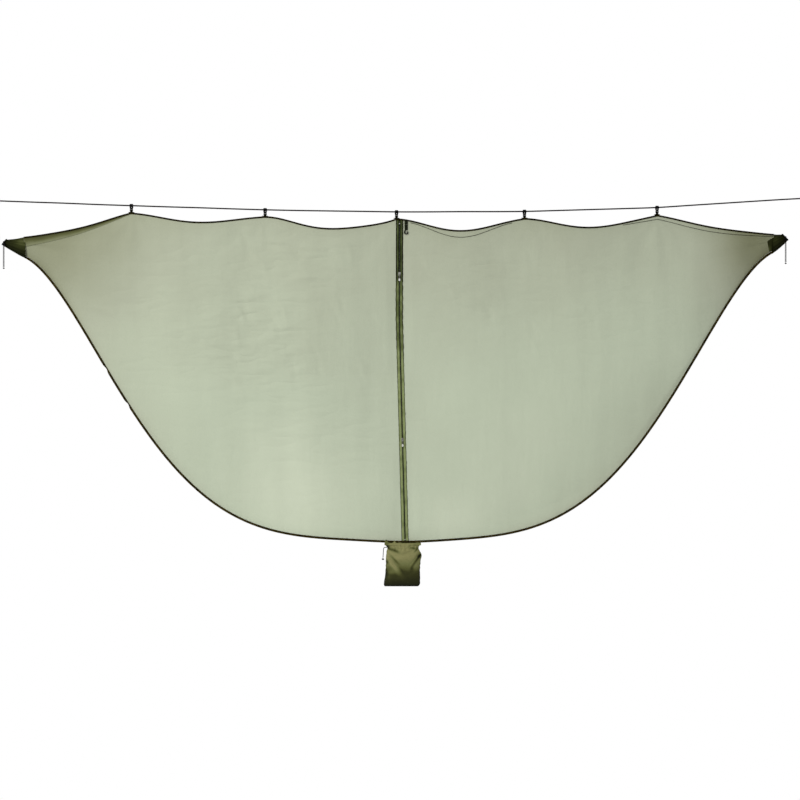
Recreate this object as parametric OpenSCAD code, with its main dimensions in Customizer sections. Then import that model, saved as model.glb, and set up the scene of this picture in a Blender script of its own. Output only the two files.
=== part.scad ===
// Hammock bug net: a long pod of fine mesh that hangs from a taut ridge rope by five plastic hooks.
// The front has a full-height zip, each end gathers into a sleeve for the hammock's suspension,
// and the net packs into the stuff sack sewn to the middle of its bottom hem.
// X runs along the rope, -Y is the zip side, Z is up, and the origin is the rope at the middle hook.

/* [Net] */
// Distance from the middle hook to the left sleeve's seam
panel_left = 1615; // [1600:1:1630]
// Distance from the middle hook to the right sleeve's seam
panel_right = 1635; // [1620:1:1650]
// Depth of the bottom hem below the rope, beside the sack
drop = 1424; // [1380:1:1460]
// How much lower the sack pulls the middle of the bottom hem
sack_sag = 12; // [0:1:15]
// How far the mesh bellies out between the hems
belly = 38; // [10:1:60]
// Thickness of the cloth
cloth = 1; // [0.8:0.1:1.2]

/* [Hems] */
// Half width of the roof strip at a hook
roof_at_hook = 20; // [19:0.5:22]
// Half width of the roof strip between two hooks
roof_between = 32; // [24:1:40]
// Height of the tape that binds the top edges
top_hem = 7; // [5:0.5:7]
// Height of the tape that binds the bottom edge
low_hem = 10; // [6:0.5:10]

/* [Ridge] */
// Diameter of the ridge rope
rope_d = 6; // [5:0.5:6]
// Inner radius of a ridge hook's crook
crook_r = 6; // [6:0.1:6.5]
// Thickness of a ridge hook's plastic
hook_wall = 3; // [3:0.1:4]

/* [Zip] */
// Width of each half of the zip tape
tape_w = 12.3; // [12:0.1:12.5]
// Distance of the upper slider below the zip's top end
upper_at = 222; // [210:1:300]
// Distance of the lower slider below the zip's top end
lower_at = 940; // [900:1:1000]
// Length of a zip pull
pull_len = 30; // [24:1:34]

/* [Sack and cords] */
// Wall of the sack's cloth
sack_wall = 1.2; // [1:0.1:1.4]
// Diameter of the sleeve drawcords
draw_d = 2.6; // [2.2:0.1:2.6]
// Outer radius of a cord lock's barrel
lock_r = 6.5; // [6.2:0.1:7]

/* [Hidden] */

// The ridge rope's route, and the hooks on it
rope_route = [
    [-1762, 0, 49], [-1680, 0, 46], [-1600, 0, 43], [-1450, 0, 38], [-1300, 0, 32], [-1150, 0, 27],
    [-1000, 0, 22], [-860, 0, 18], [-710, 0, 13], [-570, 0, 9], [-430, 0, 6], [-290, 0, 4],
    [-140, 0, 2], [0, 0, 0], [140, 0, 0], [280, 0, 1], [420, 0, 1], [555, 0, 2], [700, 0, 6],
    [840, 0, 10], [980, 0, 14], [1130, 0, 19], [1270, 0, 28], [1410, 0, 37], [1550, 0, 46],
    [1680, 0, 54], [1792, 0, 60]
];

// The ridge hooks: their places, and one hook's crook, stem, slot and bar
hook_x = [-1150, -570, 0, 555, 1130];
hook_z = [27, 9, 0, 2, 19];
hook_gap = 1.6;
crook_z = -(crook_r - rope_d / 2 - hook_gap);
crook_top = crook_z + crook_r + hook_wall;
bar_z = -22.3;
bar_h = 2.8;
hook_foot = bar_z - bar_h / 2;
stem_t = 3;
slot_half = 5.6;
slot_top = -16;

// The webbing tab through a hook's slot, and its foot on the roof strip
tab_half = 5;
tab_r = 4.8;
tab_t = 1;
tab_foot = [26, 34];

// The loop tied in each end of the rope, from its knot outwards: distance out, height
loop_route = [
    [6.8, 4.6], [14, 9], [24, 12], [34, 14], [44, 14.5], [54, 13], [61, 9], [65, 3], [65, -3],
    [61, -9], [54, -13], [44, -14.5], [34, -14], [24, -12], [14, -9], [6.8, -4.6]
];
knot_r = 8;

// The top hems: a chain of shallow sags from the left sleeve, hook by hook, to the right sleeve
edge_x = [-panel_left, hook_x[0], hook_x[1], hook_x[2], hook_x[3], hook_x[4], panel_right];
edge_z = [-109, -4, -20, -29, -28, -14, -97];
edge_sag = [15, 32, 47, 52, 45, 13];
// How level each stretch sets off from its two ends: 0 is a plain sag, 1 sets off level
edge_level = [[0, 1], [0.8, 0.6], [1.05, -0.2], [0.85, 0.6], [0.85, 0.35], [1, 0.2]];
edge_steps = 6;

// The bottom hem: a deep round sweep up to each end
curve_left = 1665;
curve_right = 1687;
curve_end_left = 187;
curve_end_right = 165;
curve_a = 3.72;
curve_b = 2.07;
sag_x = 27;
sag_reach = 150;
seam_half = 2.1;
seam_gap = 0.2;
binding_half = 1.2;
low_binding_half = 3.4;
panel_rows = 10;

// The zip's line down the front: plumb to its one bend, then aslant
zip_top = [13, -19.9, -48];
zip_bend = [12, -14.6, -460];
zip_low = [37, -2.2, -1424];
zip_upper = norm(zip_bend - zip_top);
zip_len = zip_upper + norm(zip_low - zip_bend);
tape_gap = 2.7;
zip_reach = tape_gap + tape_w + seam_gap;
coil_gap = 0.6;
coil_w = 1.9;
coil_half = 0.9;
stop_h = 4;
plate_back = 1.8;
plate_t = 1.6;
plate_w = 10;
plate_h = 14;
pull_w = 6.8;
pull_t = 1.2;
pull_y = -4.65;

// The end sleeves: the middle of each mouth, how far it faces up, and the oval hem round it
mouth_x_left = -1701;
mouth_x_right = 1685;
mouth_z_left = -131;
mouth_z_right = -110;
tilt_left = 40;
tilt_right = 45;
mouth_half_left = 14;
mouth_half_right = 17;
ring_r = 11;
ring_wire = 2.6;
sleeve_sides = 24;
sleeve_steps = 6;

// A drawcord's route from the front of its sleeve's ring: distance forward, height
draw_route = [
    [12.8, 0.6], [14.5, 1.6], [16.5, 2.4], [18.5, 2.6], [20.3, 2.2], [21.8, 1.2], [23, -0.2],
    [23.8, -1.8], [24, -3.4], [24, -8], [24, -14], [24, -24], [24, -36], [24, -48], [24, -60],
    [24, -72], [24, -84], [24, -97], [24, -110]
];
strand_gap = 3.6;
lock_y = -24;
lock_z = -10;
lock_front = -33;
lock_back = -14.8;
lock_bore = 4.6;
lock_bore_end = -16.6;
stem_r = 4.5;
stem_end = -21;
head_back = -35.4;
head_front = -37.6;
spring_r = 3.2;
spring_wire = 0.7;
spring_turns = 3;

// The tie-back strap and hook beside the zip
strap_x = 41.5;
strap_y = -24;
strap_pivot_z = -56;
strap_w = 14;
strap_t = 1.2;
strap_low = -80;
door_hook_r = 4.6;
door_hook_wall = 4.8;
door_hook_z = -90;

// The stuff sack: height, middle in X, middle in Y, half width and half depth of each station
sack_stations = [
    [-1437.5, 26.5, -9, 79.5, 9], [-1448, 26.5, -8, 72.5, 11], [-1457, 27.5, -7, 67.5, 12],
    [-1470, 29, -5, 72, 16], [-1490, 32, -3, 77, 20], [-1512, 29.5, -1, 75.5, 23],
    [-1543, 27.5, 0, 74.5, 24], [-1571, 26.5, 0.5, 75.5, 23], [-1597, 24.5, 0.5, 77.5, 18],
    [-1615, 23, 0, 78, 11], [-1624, 21, 0, 73, 4]
];
sack_sides = 28;
sack_channel_h = 8;
channel_lift = 3;
channel_wall = 1.5;
flap_low = -1441;
flap_top = -1436.8;
sack_cord_d = 3;
sack_cord_route = [
    [-42, -7, -1456], [-44, -7, -1455.5], [-46, -7, -1455], [-48, -7, -1454.6], [-50, -7, -1454.6],
    [-52, -7, -1455.2], [-53.8, -7, -1456.4], [-55.2, -7, -1458.2], [-56, -7, -1460.4],
    [-56.4, -7, -1463], [-56.8, -7, -1468], [-57.2, -7, -1474], [-57.6, -7, -1480],
    [-58, -7, -1487], [-58.4, -7, -1494], [-58.8, -7, -1500]
];

round_fn = 32;
ring_fn = 48;
rope_sides = 10;
cord_sides = 8;

// ---- Helpers ----

function lerp(a, b, t) = a + (b - a) * t;
function smooth(t) = let (c = max(0, min(1, t))) c * c * (3 - 2 * c);
function unit(v) = v / norm(v);

// Number of the stretch of top hem that x lies on, and how far along it x is
function span(x, i = 0) = i == len(edge_x) - 2 || x < edge_x[i + 1] ? i : span(x, i + 1);
function along(x) = let (i = span(x)) (x - edge_x[i]) / (edge_x[i + 1] - edge_x[i]);
function between_hooks(x) = pow(sin(180 * along(x)), 2);
function top_z(x) =
    let (i = span(x), t = along(x), level = lerp(edge_level[i][0], edge_level[i][1], t))
    lerp(edge_z[i], edge_z[i + 1], t) - edge_sag[i] * lerp(4 * t * (1 - t), between_hooks(x), level);
function half_depth(x) = lerp(roof_at_hook, roof_between, between_hooks(x));

// Height of the bottom hem's lower edge, and the direction from it into the net
function low_z(x) =
    let (
        reach = x < 0 ? curve_left : curve_right,
        end = x < 0 ? curve_end_left : curve_end_right,
        u = min(abs(x) / reach, 1)
    )
    -end - (drop - end) * pow(1 - pow(u, curve_a), curve_b)
        - sack_sag * exp(-pow((x - sag_x) / sag_reach, 2) / 2);
function low_inward(x) = unit([low_z(x - 1) - low_z(x + 1), 2]);

// Columns of the net: every hook has one, which keeps the hem's peaks, and so has each side of the zip
zip_left = zip_top[0] - zip_reach;
zip_right = zip_top[0] + zip_reach;
even_columns = [
    for (i = [0:len(edge_x) - 2]) for (k = [0:edge_steps - 1])
        lerp(edge_x[i], edge_x[i + 1], k / edge_steps)
];
net_columns = concat(
    [for (x = even_columns) if (x < zip_left) x], [zip_left],
    [for (x = even_columns) if (x > zip_left && x < zip_right) x], [zip_right],
    [for (x = even_columns) if (x > zip_right) x]
);
function columns(from, to) = [for (x = net_columns) if (x > from + 1 && x < to - 1) x];
function with_ends(from, to) = concat([from], columns(from, to), [to]);

// The zip's X at a height, and how much of its lean the front cloth follows at x
function zip_x(z) =
    z > zip_bend[2]
        ? lerp(zip_top[0], zip_bend[0], (z - zip_top[2]) / (zip_bend[2] - zip_top[2]))
        : lerp(zip_bend[0], zip_low[0], (z - zip_bend[2]) / (zip_low[2] - zip_bend[2]));
function follows(x) = smooth(1 - abs(x - zip_top[0]) / 500);

// One point of a wall of the net: side is -1 at the front, v runs from the top hem to the bottom
function belly_at(side, x) =
    belly * (1 - pow(min(abs(x) / panel_right, 1), 4))
        * (side < 0 ? smooth((abs(x - zip_top[0]) - zip_reach) / 450) : 1);
function wall(side, x, v, out) =
    let (
        lean = side < 0 ? follows(x) : 0,
        xb = x + lean * (zip_low[0] - zip_top[0]),
        inward = low_inward(xb),
        rise = low_hem + seam_gap,
        y = lerp(half_depth(x), seam_half, v) + belly_at(side, x) * sin(180 * v) + out,
        top = top_z(x) - top_hem - seam_gap,
        z = lerp(top, low_z(xb) + rise * inward[1], v)
    )
    [x + lean * (zip_x(z) - zip_top[0]) + v * rise * inward[0], side * y, z];

// Triangles between two rows of n points that start at a and b, open or closed
function strip(a, b, n, closed) = [
    for (i = [0:n - (closed ? 1 : 2)])
        let (j = (i + 1) % n)
        each [[a + i, b + i, b + j], [a + i, b + j, a + j]]
];
function flipped(faces) = [for (f = faces) [f[2], f[1], f[0]]];

// A solid swept through rings of points, with flat ends
module sweep(rings) {
    n = len(rings[0]);
    last = (len(rings) - 1) * n;
    polyhedron(
        points = [for (r = rings) each r],
        faces = concat(
            [for (k = [0:len(rings) - 2]) each strip(k * n, (k + 1) * n, n, true)],
            [[for (i = [0:n - 1]) i], [for (i = [n - 1:-1:0]) last + i]]
        )
    );
}

// A sheet of cloth between two matching grids of points
module sheet(outer, inner) {
    rows = len(outer);
    n = len(outer[0]);
    all = rows * n;
    rim = concat(
        [for (c = [0:n - 2]) c], [for (r = [0:rows - 2]) r * n + n - 1],
        [for (c = [n - 1:-1:1]) (rows - 1) * n + c], [for (r = [rows - 1:-1:1]) r * n]
    );
    polyhedron(
        points = concat([for (r = outer) each r], [for (r = inner) each r]),
        faces = concat(
            [for (k = [0:rows - 2]) each strip(k * n, (k + 1) * n, n, false)],
            flipped([for (k = [0:rows - 2]) each strip(all + k * n, all + (k + 1) * n, n, false)]),
            [for (i = [0:len(rim) - 1])
                let (a = rim[i], b = rim[(i + 1) % len(rim)])
                each [[a, b, all + b], [a, all + b, all + a]]]
        )
    );
}

// A tube of cloth between outer and inner rings, open at the first ring and, unless shut, the last
module sleeve(outer, inner, shut = false) {
    n = len(outer[0]);
    rows = len(outer);
    all = rows * n;
    last = (rows - 1) * n;
    polyhedron(
        points = concat([for (r = outer) each r], [for (r = inner) each r]),
        faces = concat(
            [for (k = [0:rows - 2]) each strip(k * n, (k + 1) * n, n, true)],
            flipped([for (k = [0:rows - 2]) each strip(all + k * n, all + (k + 1) * n, n, true)]),
            flipped(strip(0, all, n, true)),
            shut
                ? [[for (i = [n - 1:-1:0]) last + i], [for (i = [0:n - 1]) all + last + i]]
                : strip(last, all + last, n, true)
        )
    );
}

// The rings of a cord of diameter d along a route; across is a direction the route never takes
function cord_rings(route, d, sides, across) = [
    for (k = [0:len(route) - 1])
        let (
            ahead = unit(route[min(k + 1, len(route) - 1)] - route[max(k - 1, 0)]),
            u = unit(cross(ahead, across)),
            w = cross(ahead, u)
        )
        [for (i = [0:sides - 1])
            let (a = 360 * i / sides) route[k] + d / 2 * (cos(a) * u + sin(a) * w)]
];

// The route with each of its stretches cut into n
function divided(route, n) = [
    for (k = [0:len(route) - 2]) for (i = [0:n - 1]) lerp(route[k], route[k + 1], i / n),
    route[len(route) - 1]
];

// ---- Ridge rope ----

module ridge_rope() {
    color("#1d1715") sweep(cord_rings(divided(rope_route, 2), rope_d, rope_sides, [0, 1, 0]));
}

module ridge_knot(side) {
    end = side < 0 ? rope_route[0] : rope_route[len(rope_route) - 1];
    color("#1d1715") translate(end + [side * knot_r, 0, 0]) sphere(r = knot_r, $fn = round_fn);
}

module ridge_loop(side) {
    end = side < 0 ? rope_route[0] : rope_route[len(rope_route) - 1];
    route = [for (p = loop_route) end + [side * (knot_r + p[0]), 0, p[1]]];
    color("#1d1715") sweep(cord_rings(route, rope_d, rope_sides, [0, 1, 0]));
}

// ---- Ridge hooks and their tabs ----

module hook_side() {
    difference() {
        translate([0, crook_z]) circle(r = crook_r + hook_wall, $fn = ring_fn);
        translate([0, crook_z]) circle(r = crook_r, $fn = ring_fn);
        translate([-12, -14]) square([12 - stem_t / 2, 14 + crook_z - 2]);
    }
    translate([-crook_r - hook_wall / 2, crook_z - 2]) circle(r = hook_wall / 2, $fn = round_fn);
    translate([-stem_t / 2, hook_foot]) square([stem_t, crook_z - crook_r - 1 - hook_foot]);
}

module hook_front() {
    polygon([
        [-6, crook_top], [6, crook_top], [8, 3], [8, -7], [6.6, -13], [7, -16], [7, hook_foot],
        [-7, hook_foot], [-7, -16], [-6.6, -13], [-8, -7], [-8, 3]
    ]);
}

module ridge_hook(i) {
    color("#0d0d0d") translate([hook_x[i], 0, hook_z[i]]) difference() {
        intersection() {
            rotate([90, 0, 90]) linear_extrude(20, center = true) hook_side();
            rotate([90, 0, 0]) linear_extrude(30, center = true) hook_front();
        }
        translate([0, 15, -7]) rotate([90, 0, 0]) cylinder(r = 1.3, h = 30, $fn = round_fn);
        translate([-slot_half, -5, bar_z + bar_h / 2])
            cube([2 * slot_half, 10, slot_top - bar_z - bar_h / 2]);
    }
}

module hook_tab(i) {
    roof = edge_z[i + 1] - hook_z[i];
    loop_low = bar_z - tab_r - tab_t / 2;
    color("#15150f") translate([hook_x[i], 0, hook_z[i]]) {
        difference() {
            union() {
                translate([-tab_half, 0, bar_z]) rotate([0, 90, 0])
                    cylinder(r = tab_r + tab_t, h = 2 * tab_half, $fn = ring_fn);
                translate([-tab_half, -3, roof + 0.1]) cube([2 * tab_half, 6, loop_low - roof]);
                translate([-tab_foot[0] / 2, -tab_foot[1] / 2, roof + 0.1])
                    cube([tab_foot[0], tab_foot[1], tab_t]);
            }
            translate([-tab_half - 1, 0, bar_z]) rotate([0, 90, 0])
                cylinder(r = tab_r, h = 2 * tab_half + 2, $fn = ring_fn);
        }
    }
}

// ---- Net ----

module roof_strip() {
    xs = with_ends(-panel_left, panel_right);
    rows = [for (s = [-1, 0, 1]) [for (x = xs)
        [x, s * (half_depth(x) - binding_half - seam_gap), top_z(x)]
    ]];
    color("#4a4a2e") sheet(rows, [for (r = rows) [for (p = r) p - [0, 0, cloth]]]);
}

module top_binding(side) {
    rings = [for (x = with_ends(-panel_left, panel_right))
        let (y = side * half_depth(x), z = top_z(x), b = binding_half)
        [[x, y - b, z - top_hem], [x, y - b, z], [x, y + b, z], [x, y + b, z - top_hem]]
    ];
    color("#1b1a0e") sweep(rings);
}

module bottom_binding() {
    b = low_binding_half;
    rings = [for (x = with_ends(-panel_left, panel_right))
        let (n = low_hem * low_inward(x), z = low_z(x))
        [[x, -b, z], [x + n[0], -b, z + n[1]], [x + n[0], b, z + n[1]], [x, b, z]]
    ];
    color("#2a2612") sweep(rings);
}

module panel(side, from, to) {
    xs = with_ends(from, to);
    grid = function (out)
        [for (k = [0:panel_rows]) [for (x = xs) wall(side, x, k / panel_rows, out)]];
    if (side < 0) sheet(grid(cloth / 2), grid(-cloth / 2));
    else sheet(grid(-cloth / 2), grid(cloth / 2));
}

module net_front_left() {
    color("#aeb59c") panel(-1, -panel_left, zip_left);
}

module net_front_right() {
    color("#aeb59c") panel(-1, zip_right, panel_right);
}

module net_back() {
    color("#a5ad93") panel(1, -panel_left, panel_right);
}

// ---- End sleeves ----

function mouth(side) =
    side < 0 ? [mouth_x_left, 0, mouth_z_left] : [mouth_x_right, 0, mouth_z_right];
function tilt(side) = side < 0 ? tilt_left : tilt_right;

function mouth_half(side) = side < 0 ? mouth_half_left : mouth_half_right;

// An upright oval round a middle, its top leaning back from the mouth by an angle
function sleeve_ring(side, middle, half_y, half_z, lean) = [
    for (i = [0:sleeve_sides - 1])
        let (a = 360 * i / sleeve_sides, up = half_z * sin(a))
        middle + [-side * up * sin(lean), half_y * cos(a), up * cos(lean)]
];

function sleeve_rings(side, wall) =
    let (
        seam_x = side < 0 ? -panel_left - 0.3 : panel_right + 0.3,
        back = ring_wire + 0.3,
        end = mouth(side) - back * [side * cos(tilt(side)), 0, sin(tilt(side))],
        top = side < 0 ? edge_z[0] : edge_z[len(edge_z) - 1],
        low = low_z(seam_x)
    )
    [for (k = [0:sleeve_steps])
        let (t = k / sleeve_steps)
        sleeve_ring(
            side, lerp([seam_x, 0, (top + low) / 2], end, t),
            lerp(roof_at_hook + binding_half, ring_r, t) - wall,
            lerp((top - low) / 2, mouth_half(side), t) - wall, tilt(side) * t
        )
    ];

module end_sleeve(side) {
    outer = sleeve_rings(side, 0);
    inner = sleeve_rings(side, cloth);
    color("#3c3f26") if (side < 0) sleeve(inner, outer);
    else sleeve(outer, inner);
}

module at_mouth(side) {
    translate(mouth(side)) children();
}

module sleeve_channel(side) {
    route = sleeve_ring(side, [0, 0, 0], ring_r, mouth_half(side), tilt(side));
    back = -[cos(tilt(side)), 0, side * sin(tilt(side))];
    wire = [for (p = route) for (i = [0:cord_sides - 1])
        let (a = 360 * i / cord_sides) p + ring_wire * (cos(a) * unit(p) + sin(a) * back)];
    faces = [for (k = [0:sleeve_sides - 1])
        each strip(k * cord_sides, (k + 1) % sleeve_sides * cord_sides, cord_sides, true)];
    color("#14130d") at_mouth(side) polyhedron(points = wire, faces = faces);
}

// ---- Drawcords and cord locks ----

module drawcord(side) {
    color("#4d4a3d") at_mouth(side) for (s = [-1, 1]) {
        route = [for (p = draw_route) [s * strand_gap / 2, -p[0], p[1]]];
        sweep(cord_rings(route, draw_d, cord_sides, [1, 0, 0]));
    }
}

module drawcord_knot(side) {
    last = draw_route[len(draw_route) - 1];
    color("#1a1813") at_mouth(side) translate([0, -last[0], last[1] - 4.5])
        rotate_extrude($fn = round_fn)
            polygon([[0, -4.5], [2.6, -3.6], [3.4, 0], [3, 3.2], [2.8, 4.5], [0, 4.5]]);
}

module forward_cylinder(r, from, to) {
    translate([0, to, lock_z]) rotate([90, 0, 0]) cylinder(r = r, h = to - from, $fn = ring_fn);
}

module lock_barrel(side) {
    color("#0f0f0f") at_mouth(side) difference() {
        forward_cylinder(lock_r, lock_front, lock_back);
        forward_cylinder(lock_bore, lock_front - 1, lock_bore_end);
        for (s = [-1, 1]) translate([s * strand_gap / 2, lock_y, lock_z - 10])
            cylinder(r = draw_d / 2 + 0.25, h = 20, $fn = round_fn);
    }
}

module lock_plunger(side) {
    color("#191919") at_mouth(side) difference() {
        union() {
            forward_cylinder(stem_r, head_back - 1, stem_end);
            forward_cylinder(lock_bore + 0.8, head_front, head_back);
        }
        translate([-3.5, -27.8, lock_z - 10]) cube([7, 5.3, 20]);
    }
}

module lock_spring(side) {
    from = stem_end + 0.5;
    to = lock_bore_end - 0.5;
    turns = 12 * spring_turns;
    route = [for (k = [0:turns])
        [spring_r * cos(30 * k), lerp(from, to, k / turns), lock_z + spring_r * sin(30 * k)]];
    color("#9a9a9a") at_mouth(side) sweep(cord_rings(route, spring_wire, 6, [0, 1, 0]));
}

// ---- Zip ----

// Turns -Z to run along the zip, on its upper or its lower stretch, at a distance down it
module on_zip(down) {
    upper = down < zip_upper;
    from = upper ? zip_top : zip_bend;
    run = unit(upper ? zip_bend - zip_top : zip_low - zip_bend);
    translate(from) rotate([asin(run[1]), atan2(run[0], run[2]) - 180, 0])
        translate([0, 0, (upper ? 0 : zip_upper) - down]) children();
}

// A flat bar beside the zip's line: its near edge, its width and half its thickness, from z to z
module zip_bar(side, near, wide, half, from, to) {
    a = side < 0 ? -near - wide : near;
    rings = [for (z = [from, zip_bend[2], to])
        let (
            x = zip_x(z) + a,
            y = z > zip_bend[2]
                ? lerp(zip_top[1], zip_bend[1], (z - zip_top[2]) / (zip_bend[2] - zip_top[2]))
                : lerp(zip_bend[1], zip_low[1], (z - zip_bend[2]) / (zip_low[2] - zip_bend[2]))
        )
        [[x, y - half, z], [x + wide, y - half, z], [x + wide, y + half, z], [x, y + half, z]]
    ];
    sweep(rings);
}

module zip_tape(side) {
    color("#3d4228") zip_bar(side, tape_gap, tape_w, cloth / 2, zip_top[2], zip_low[2]);
}

module zip_coil(side) {
    ends = stop_h + 2;
    color("#14180f") zip_bar(side, coil_gap, coil_w, coil_half, zip_top[2] - ends, zip_low[2] + ends);
}

module zip_stop(down) {
    color("#8f9290") on_zip(down) translate([-2.4, -1.4, -stop_h]) cube([4.8, 2.8, stop_h]);
}

module zip_slider(down) {
    color("#b9bcbb") on_zip(down) {
        for (s = [-1, 1]) {
            translate([-plate_w / 2, s < 0 ? -plate_back - plate_t : plate_back, -plate_h / 2])
                cube([plate_w, plate_t, plate_h]);
            for (e = [-plate_w / 2, plate_w / 2 - 1])
                translate([e, s < 0 ? -plate_back : plate_back - 1, -plate_h / 2])
                    cube([1, 1, plate_h]);
            translate([-1, -6.9, s < 0 ? -5.6 : 4.2]) cube([2, 3.5, 1.4]);
        }
        translate([-0.35, -plate_back, -3]) cube([0.7, 2 * plate_back, 6]);
        translate([-1, -6.9, -5.6]) cube([2, 1, 11.2]);
    }
}

module zip_pull(down) {
    low = pull_w / 2 - pull_len;
    front = pull_y - pull_t / 2;
    color("#d8dbda") on_zip(down) difference() {
        union() {
            translate([-pull_w / 2, pull_y, 0]) rotate([0, 90, 0]) cylinder(r = 0.8, h = pull_w, $fn = 24);
            for (s = [-pull_w / 2, pull_w / 2 - 1.9]) translate([s, front, -8]) cube([1.9, pull_t, 8]);
            translate([-pull_w / 2, front, low]) cube([pull_w, pull_t, -8 - low]);
            translate([0, front + pull_t, low]) rotate([90, 0, 0])
                cylinder(r = pull_w / 2, h = pull_t, $fn = ring_fn);
        }
        translate([0, -3, low]) rotate([90, 0, 0]) cylinder(r = 1.5, h = 4, $fn = round_fn);
    }
}

// ---- Tie-back hook ----

module door_strap_anchor() {
    right = strap_x + strap_w / 2;
    column = edge_x[4] / edge_steps;
    share = (right - zip_right) / (column - zip_right);
    y_back = -lerp(half_depth(zip_right), half_depth(column), share) - binding_half - seam_gap;
    y_front = strap_y - strap_t / 2;
    low = strap_pivot_z + 0.8;
    color("#23241a") translate([strap_x - strap_w / 2, y_front, low])
        cube([strap_w, y_back - y_front, top_z(right) - low]);
}

module door_strap() {
    color("#23241a") translate([strap_x - strap_w / 2, strap_y - strap_t / 2, strap_low])
        cube([strap_w, strap_t, strap_pivot_z - 0.3 - strap_low]);
}

module door_hook() {
    r = door_hook_r;
    w = door_hook_wall;
    color("#0b0b0b") translate([strap_x, strap_y, door_hook_z]) rotate([90, 0, 0])
        linear_extrude(4, center = true) {
            difference() {
                circle(r = r + w, $fn = ring_fn);
                circle(r = r, $fn = ring_fn);
                polygon([[0, 0], [-20, 20], [20, 20], [20, 5]]);
            }
            rotate(14) translate([r + w / 2, 0]) circle(r = w / 2, $fn = 24);
            polygon([[-9.3, 1], [-4.7, 1], [-2, 5], [-2, 9.8], [-7, 9.8], [-7.6, 6]]);
        }
}

// ---- Stuff sack ----

function oval(z, x, y, half_x, half_y) = [
    for (i = [0:sack_sides - 1])
        let (a = 360 * i / sack_sides)
        [x + half_x * cos(a), y + half_y * sin(a), z]
];

module sack_body() {
    low = sack_stations[len(sack_stations) - 1][0];
    rings = function (wall)
        [for (s = sack_stations) oval(max(s[0], low + wall), s[1], s[2], s[3] - wall, s[4] - wall)];
    color("#7c7d50") sleeve(rings(0), rings(sack_wall), true);
}

module sack_channel() {
    s = sack_stations[2];
    rings = function (grow) [for (z = [1, 0.33, -0.33, -1])
        oval(s[0] + z * sack_channel_h / 2, s[1], s[2], s[3] + grow, s[4] + grow)];
    color("#4c4d2c") sleeve(rings(channel_lift + channel_wall), rings(channel_lift));
}

module sack_flap() {
    s = sack_stations[0];
    color("#55562f") translate([s[1] - s[3] + 2, 0.3, flap_low])
        cube([2 * s[3] - 4, 1, flap_top - flap_low]);
}

module sack_cord() {
    color("#4d4a3d") sweep(cord_rings(sack_cord_route, sack_cord_d, cord_sides, [0, 1, 0]));
}

module sack_cord_knot() {
    last = sack_cord_route[len(sack_cord_route) - 1];
    color("#15130f") translate(last - [0, 0, 6])
        rotate_extrude($fn = round_fn)
            polygon([[0, -6], [2.8, -4.8], [3.6, -1], [2.6, 2], [3.2, 4.5], [2.6, 6], [0, 6]]);
}

// ---- The parts, one node at a time ----

ridge_rope();
ridge_knot(-1);  // ridge_knot_left
ridge_knot(1);  // ridge_knot_right
ridge_loop(-1);  // ridge_loop_left
ridge_loop(1);  // ridge_loop_right
for (i = [0:len(hook_x) - 1]) {
    ridge_hook(i);
    hook_tab(i);
}
roof_strip();
top_binding(-1);  // top_binding_front
top_binding(1);  // top_binding_back
net_front_left();
net_front_right();
net_back();
bottom_binding();
end_sleeve(-1);  // end_sleeve_left
end_sleeve(1);  // end_sleeve_right
sleeve_channel(-1);  // sleeve_channel_left
sleeve_channel(1);  // sleeve_channel_right
drawcord(-1);  // drawcord_left
drawcord(1);  // drawcord_right
drawcord_knot(-1);  // drawcord_knot_left
drawcord_knot(1);  // drawcord_knot_right
lock_barrel(-1);  // lock_barrel_left
lock_barrel(1);  // lock_barrel_right
lock_plunger(-1);  // lock_plunger_left
lock_plunger(1);  // lock_plunger_right
lock_spring(-1);  // lock_spring_left
lock_spring(1);  // lock_spring_right
zip_tape(-1);  // zip_tape_left
zip_tape(1);  // zip_tape_right
zip_coil(-1);  // zip_coil_left
zip_coil(1);  // zip_coil_right
zip_stop(1);  // zip_top_stop
zip_stop(zip_len - stop_h - 1);  // zip_bottom_stop
zip_slider(upper_at);  // zip_slider_upper
zip_slider(lower_at);  // zip_slider_lower
zip_pull(upper_at);  // zip_pull_upper
zip_pull(lower_at);  // zip_pull_lower
door_strap_anchor();
door_strap();
door_hook();
sack_body();
sack_channel();
sack_flap();
sack_cord();
sack_cord_knot();
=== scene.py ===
"""The looks of a hammock bug net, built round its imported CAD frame.

Metres throughout, in the frame's own axes: X along the ridge rope, -Y the zip side, Z up,
and the origin on the rope at the middle hook.
"""

import math

import bpy
import numpy as np
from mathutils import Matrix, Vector


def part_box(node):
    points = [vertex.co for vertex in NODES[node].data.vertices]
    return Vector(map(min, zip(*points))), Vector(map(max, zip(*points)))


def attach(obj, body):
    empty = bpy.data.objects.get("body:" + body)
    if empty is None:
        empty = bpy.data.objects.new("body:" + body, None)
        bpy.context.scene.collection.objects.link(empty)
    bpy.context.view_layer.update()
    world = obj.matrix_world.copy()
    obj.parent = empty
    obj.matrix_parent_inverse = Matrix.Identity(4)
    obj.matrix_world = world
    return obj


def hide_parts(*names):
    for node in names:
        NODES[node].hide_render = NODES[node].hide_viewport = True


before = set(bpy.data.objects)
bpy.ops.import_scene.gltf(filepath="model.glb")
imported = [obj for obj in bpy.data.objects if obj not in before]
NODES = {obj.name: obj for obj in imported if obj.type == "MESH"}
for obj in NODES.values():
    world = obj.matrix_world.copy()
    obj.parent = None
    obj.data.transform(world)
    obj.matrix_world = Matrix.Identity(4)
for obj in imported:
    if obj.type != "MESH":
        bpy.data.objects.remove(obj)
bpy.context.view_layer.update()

SIDES = {"left": -1, "right": 1}
FACES = {"front": -1, "back": 1}
TAU = 2 * math.pi

# ---- The frame's own curves, as part.scad has them ----

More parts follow.
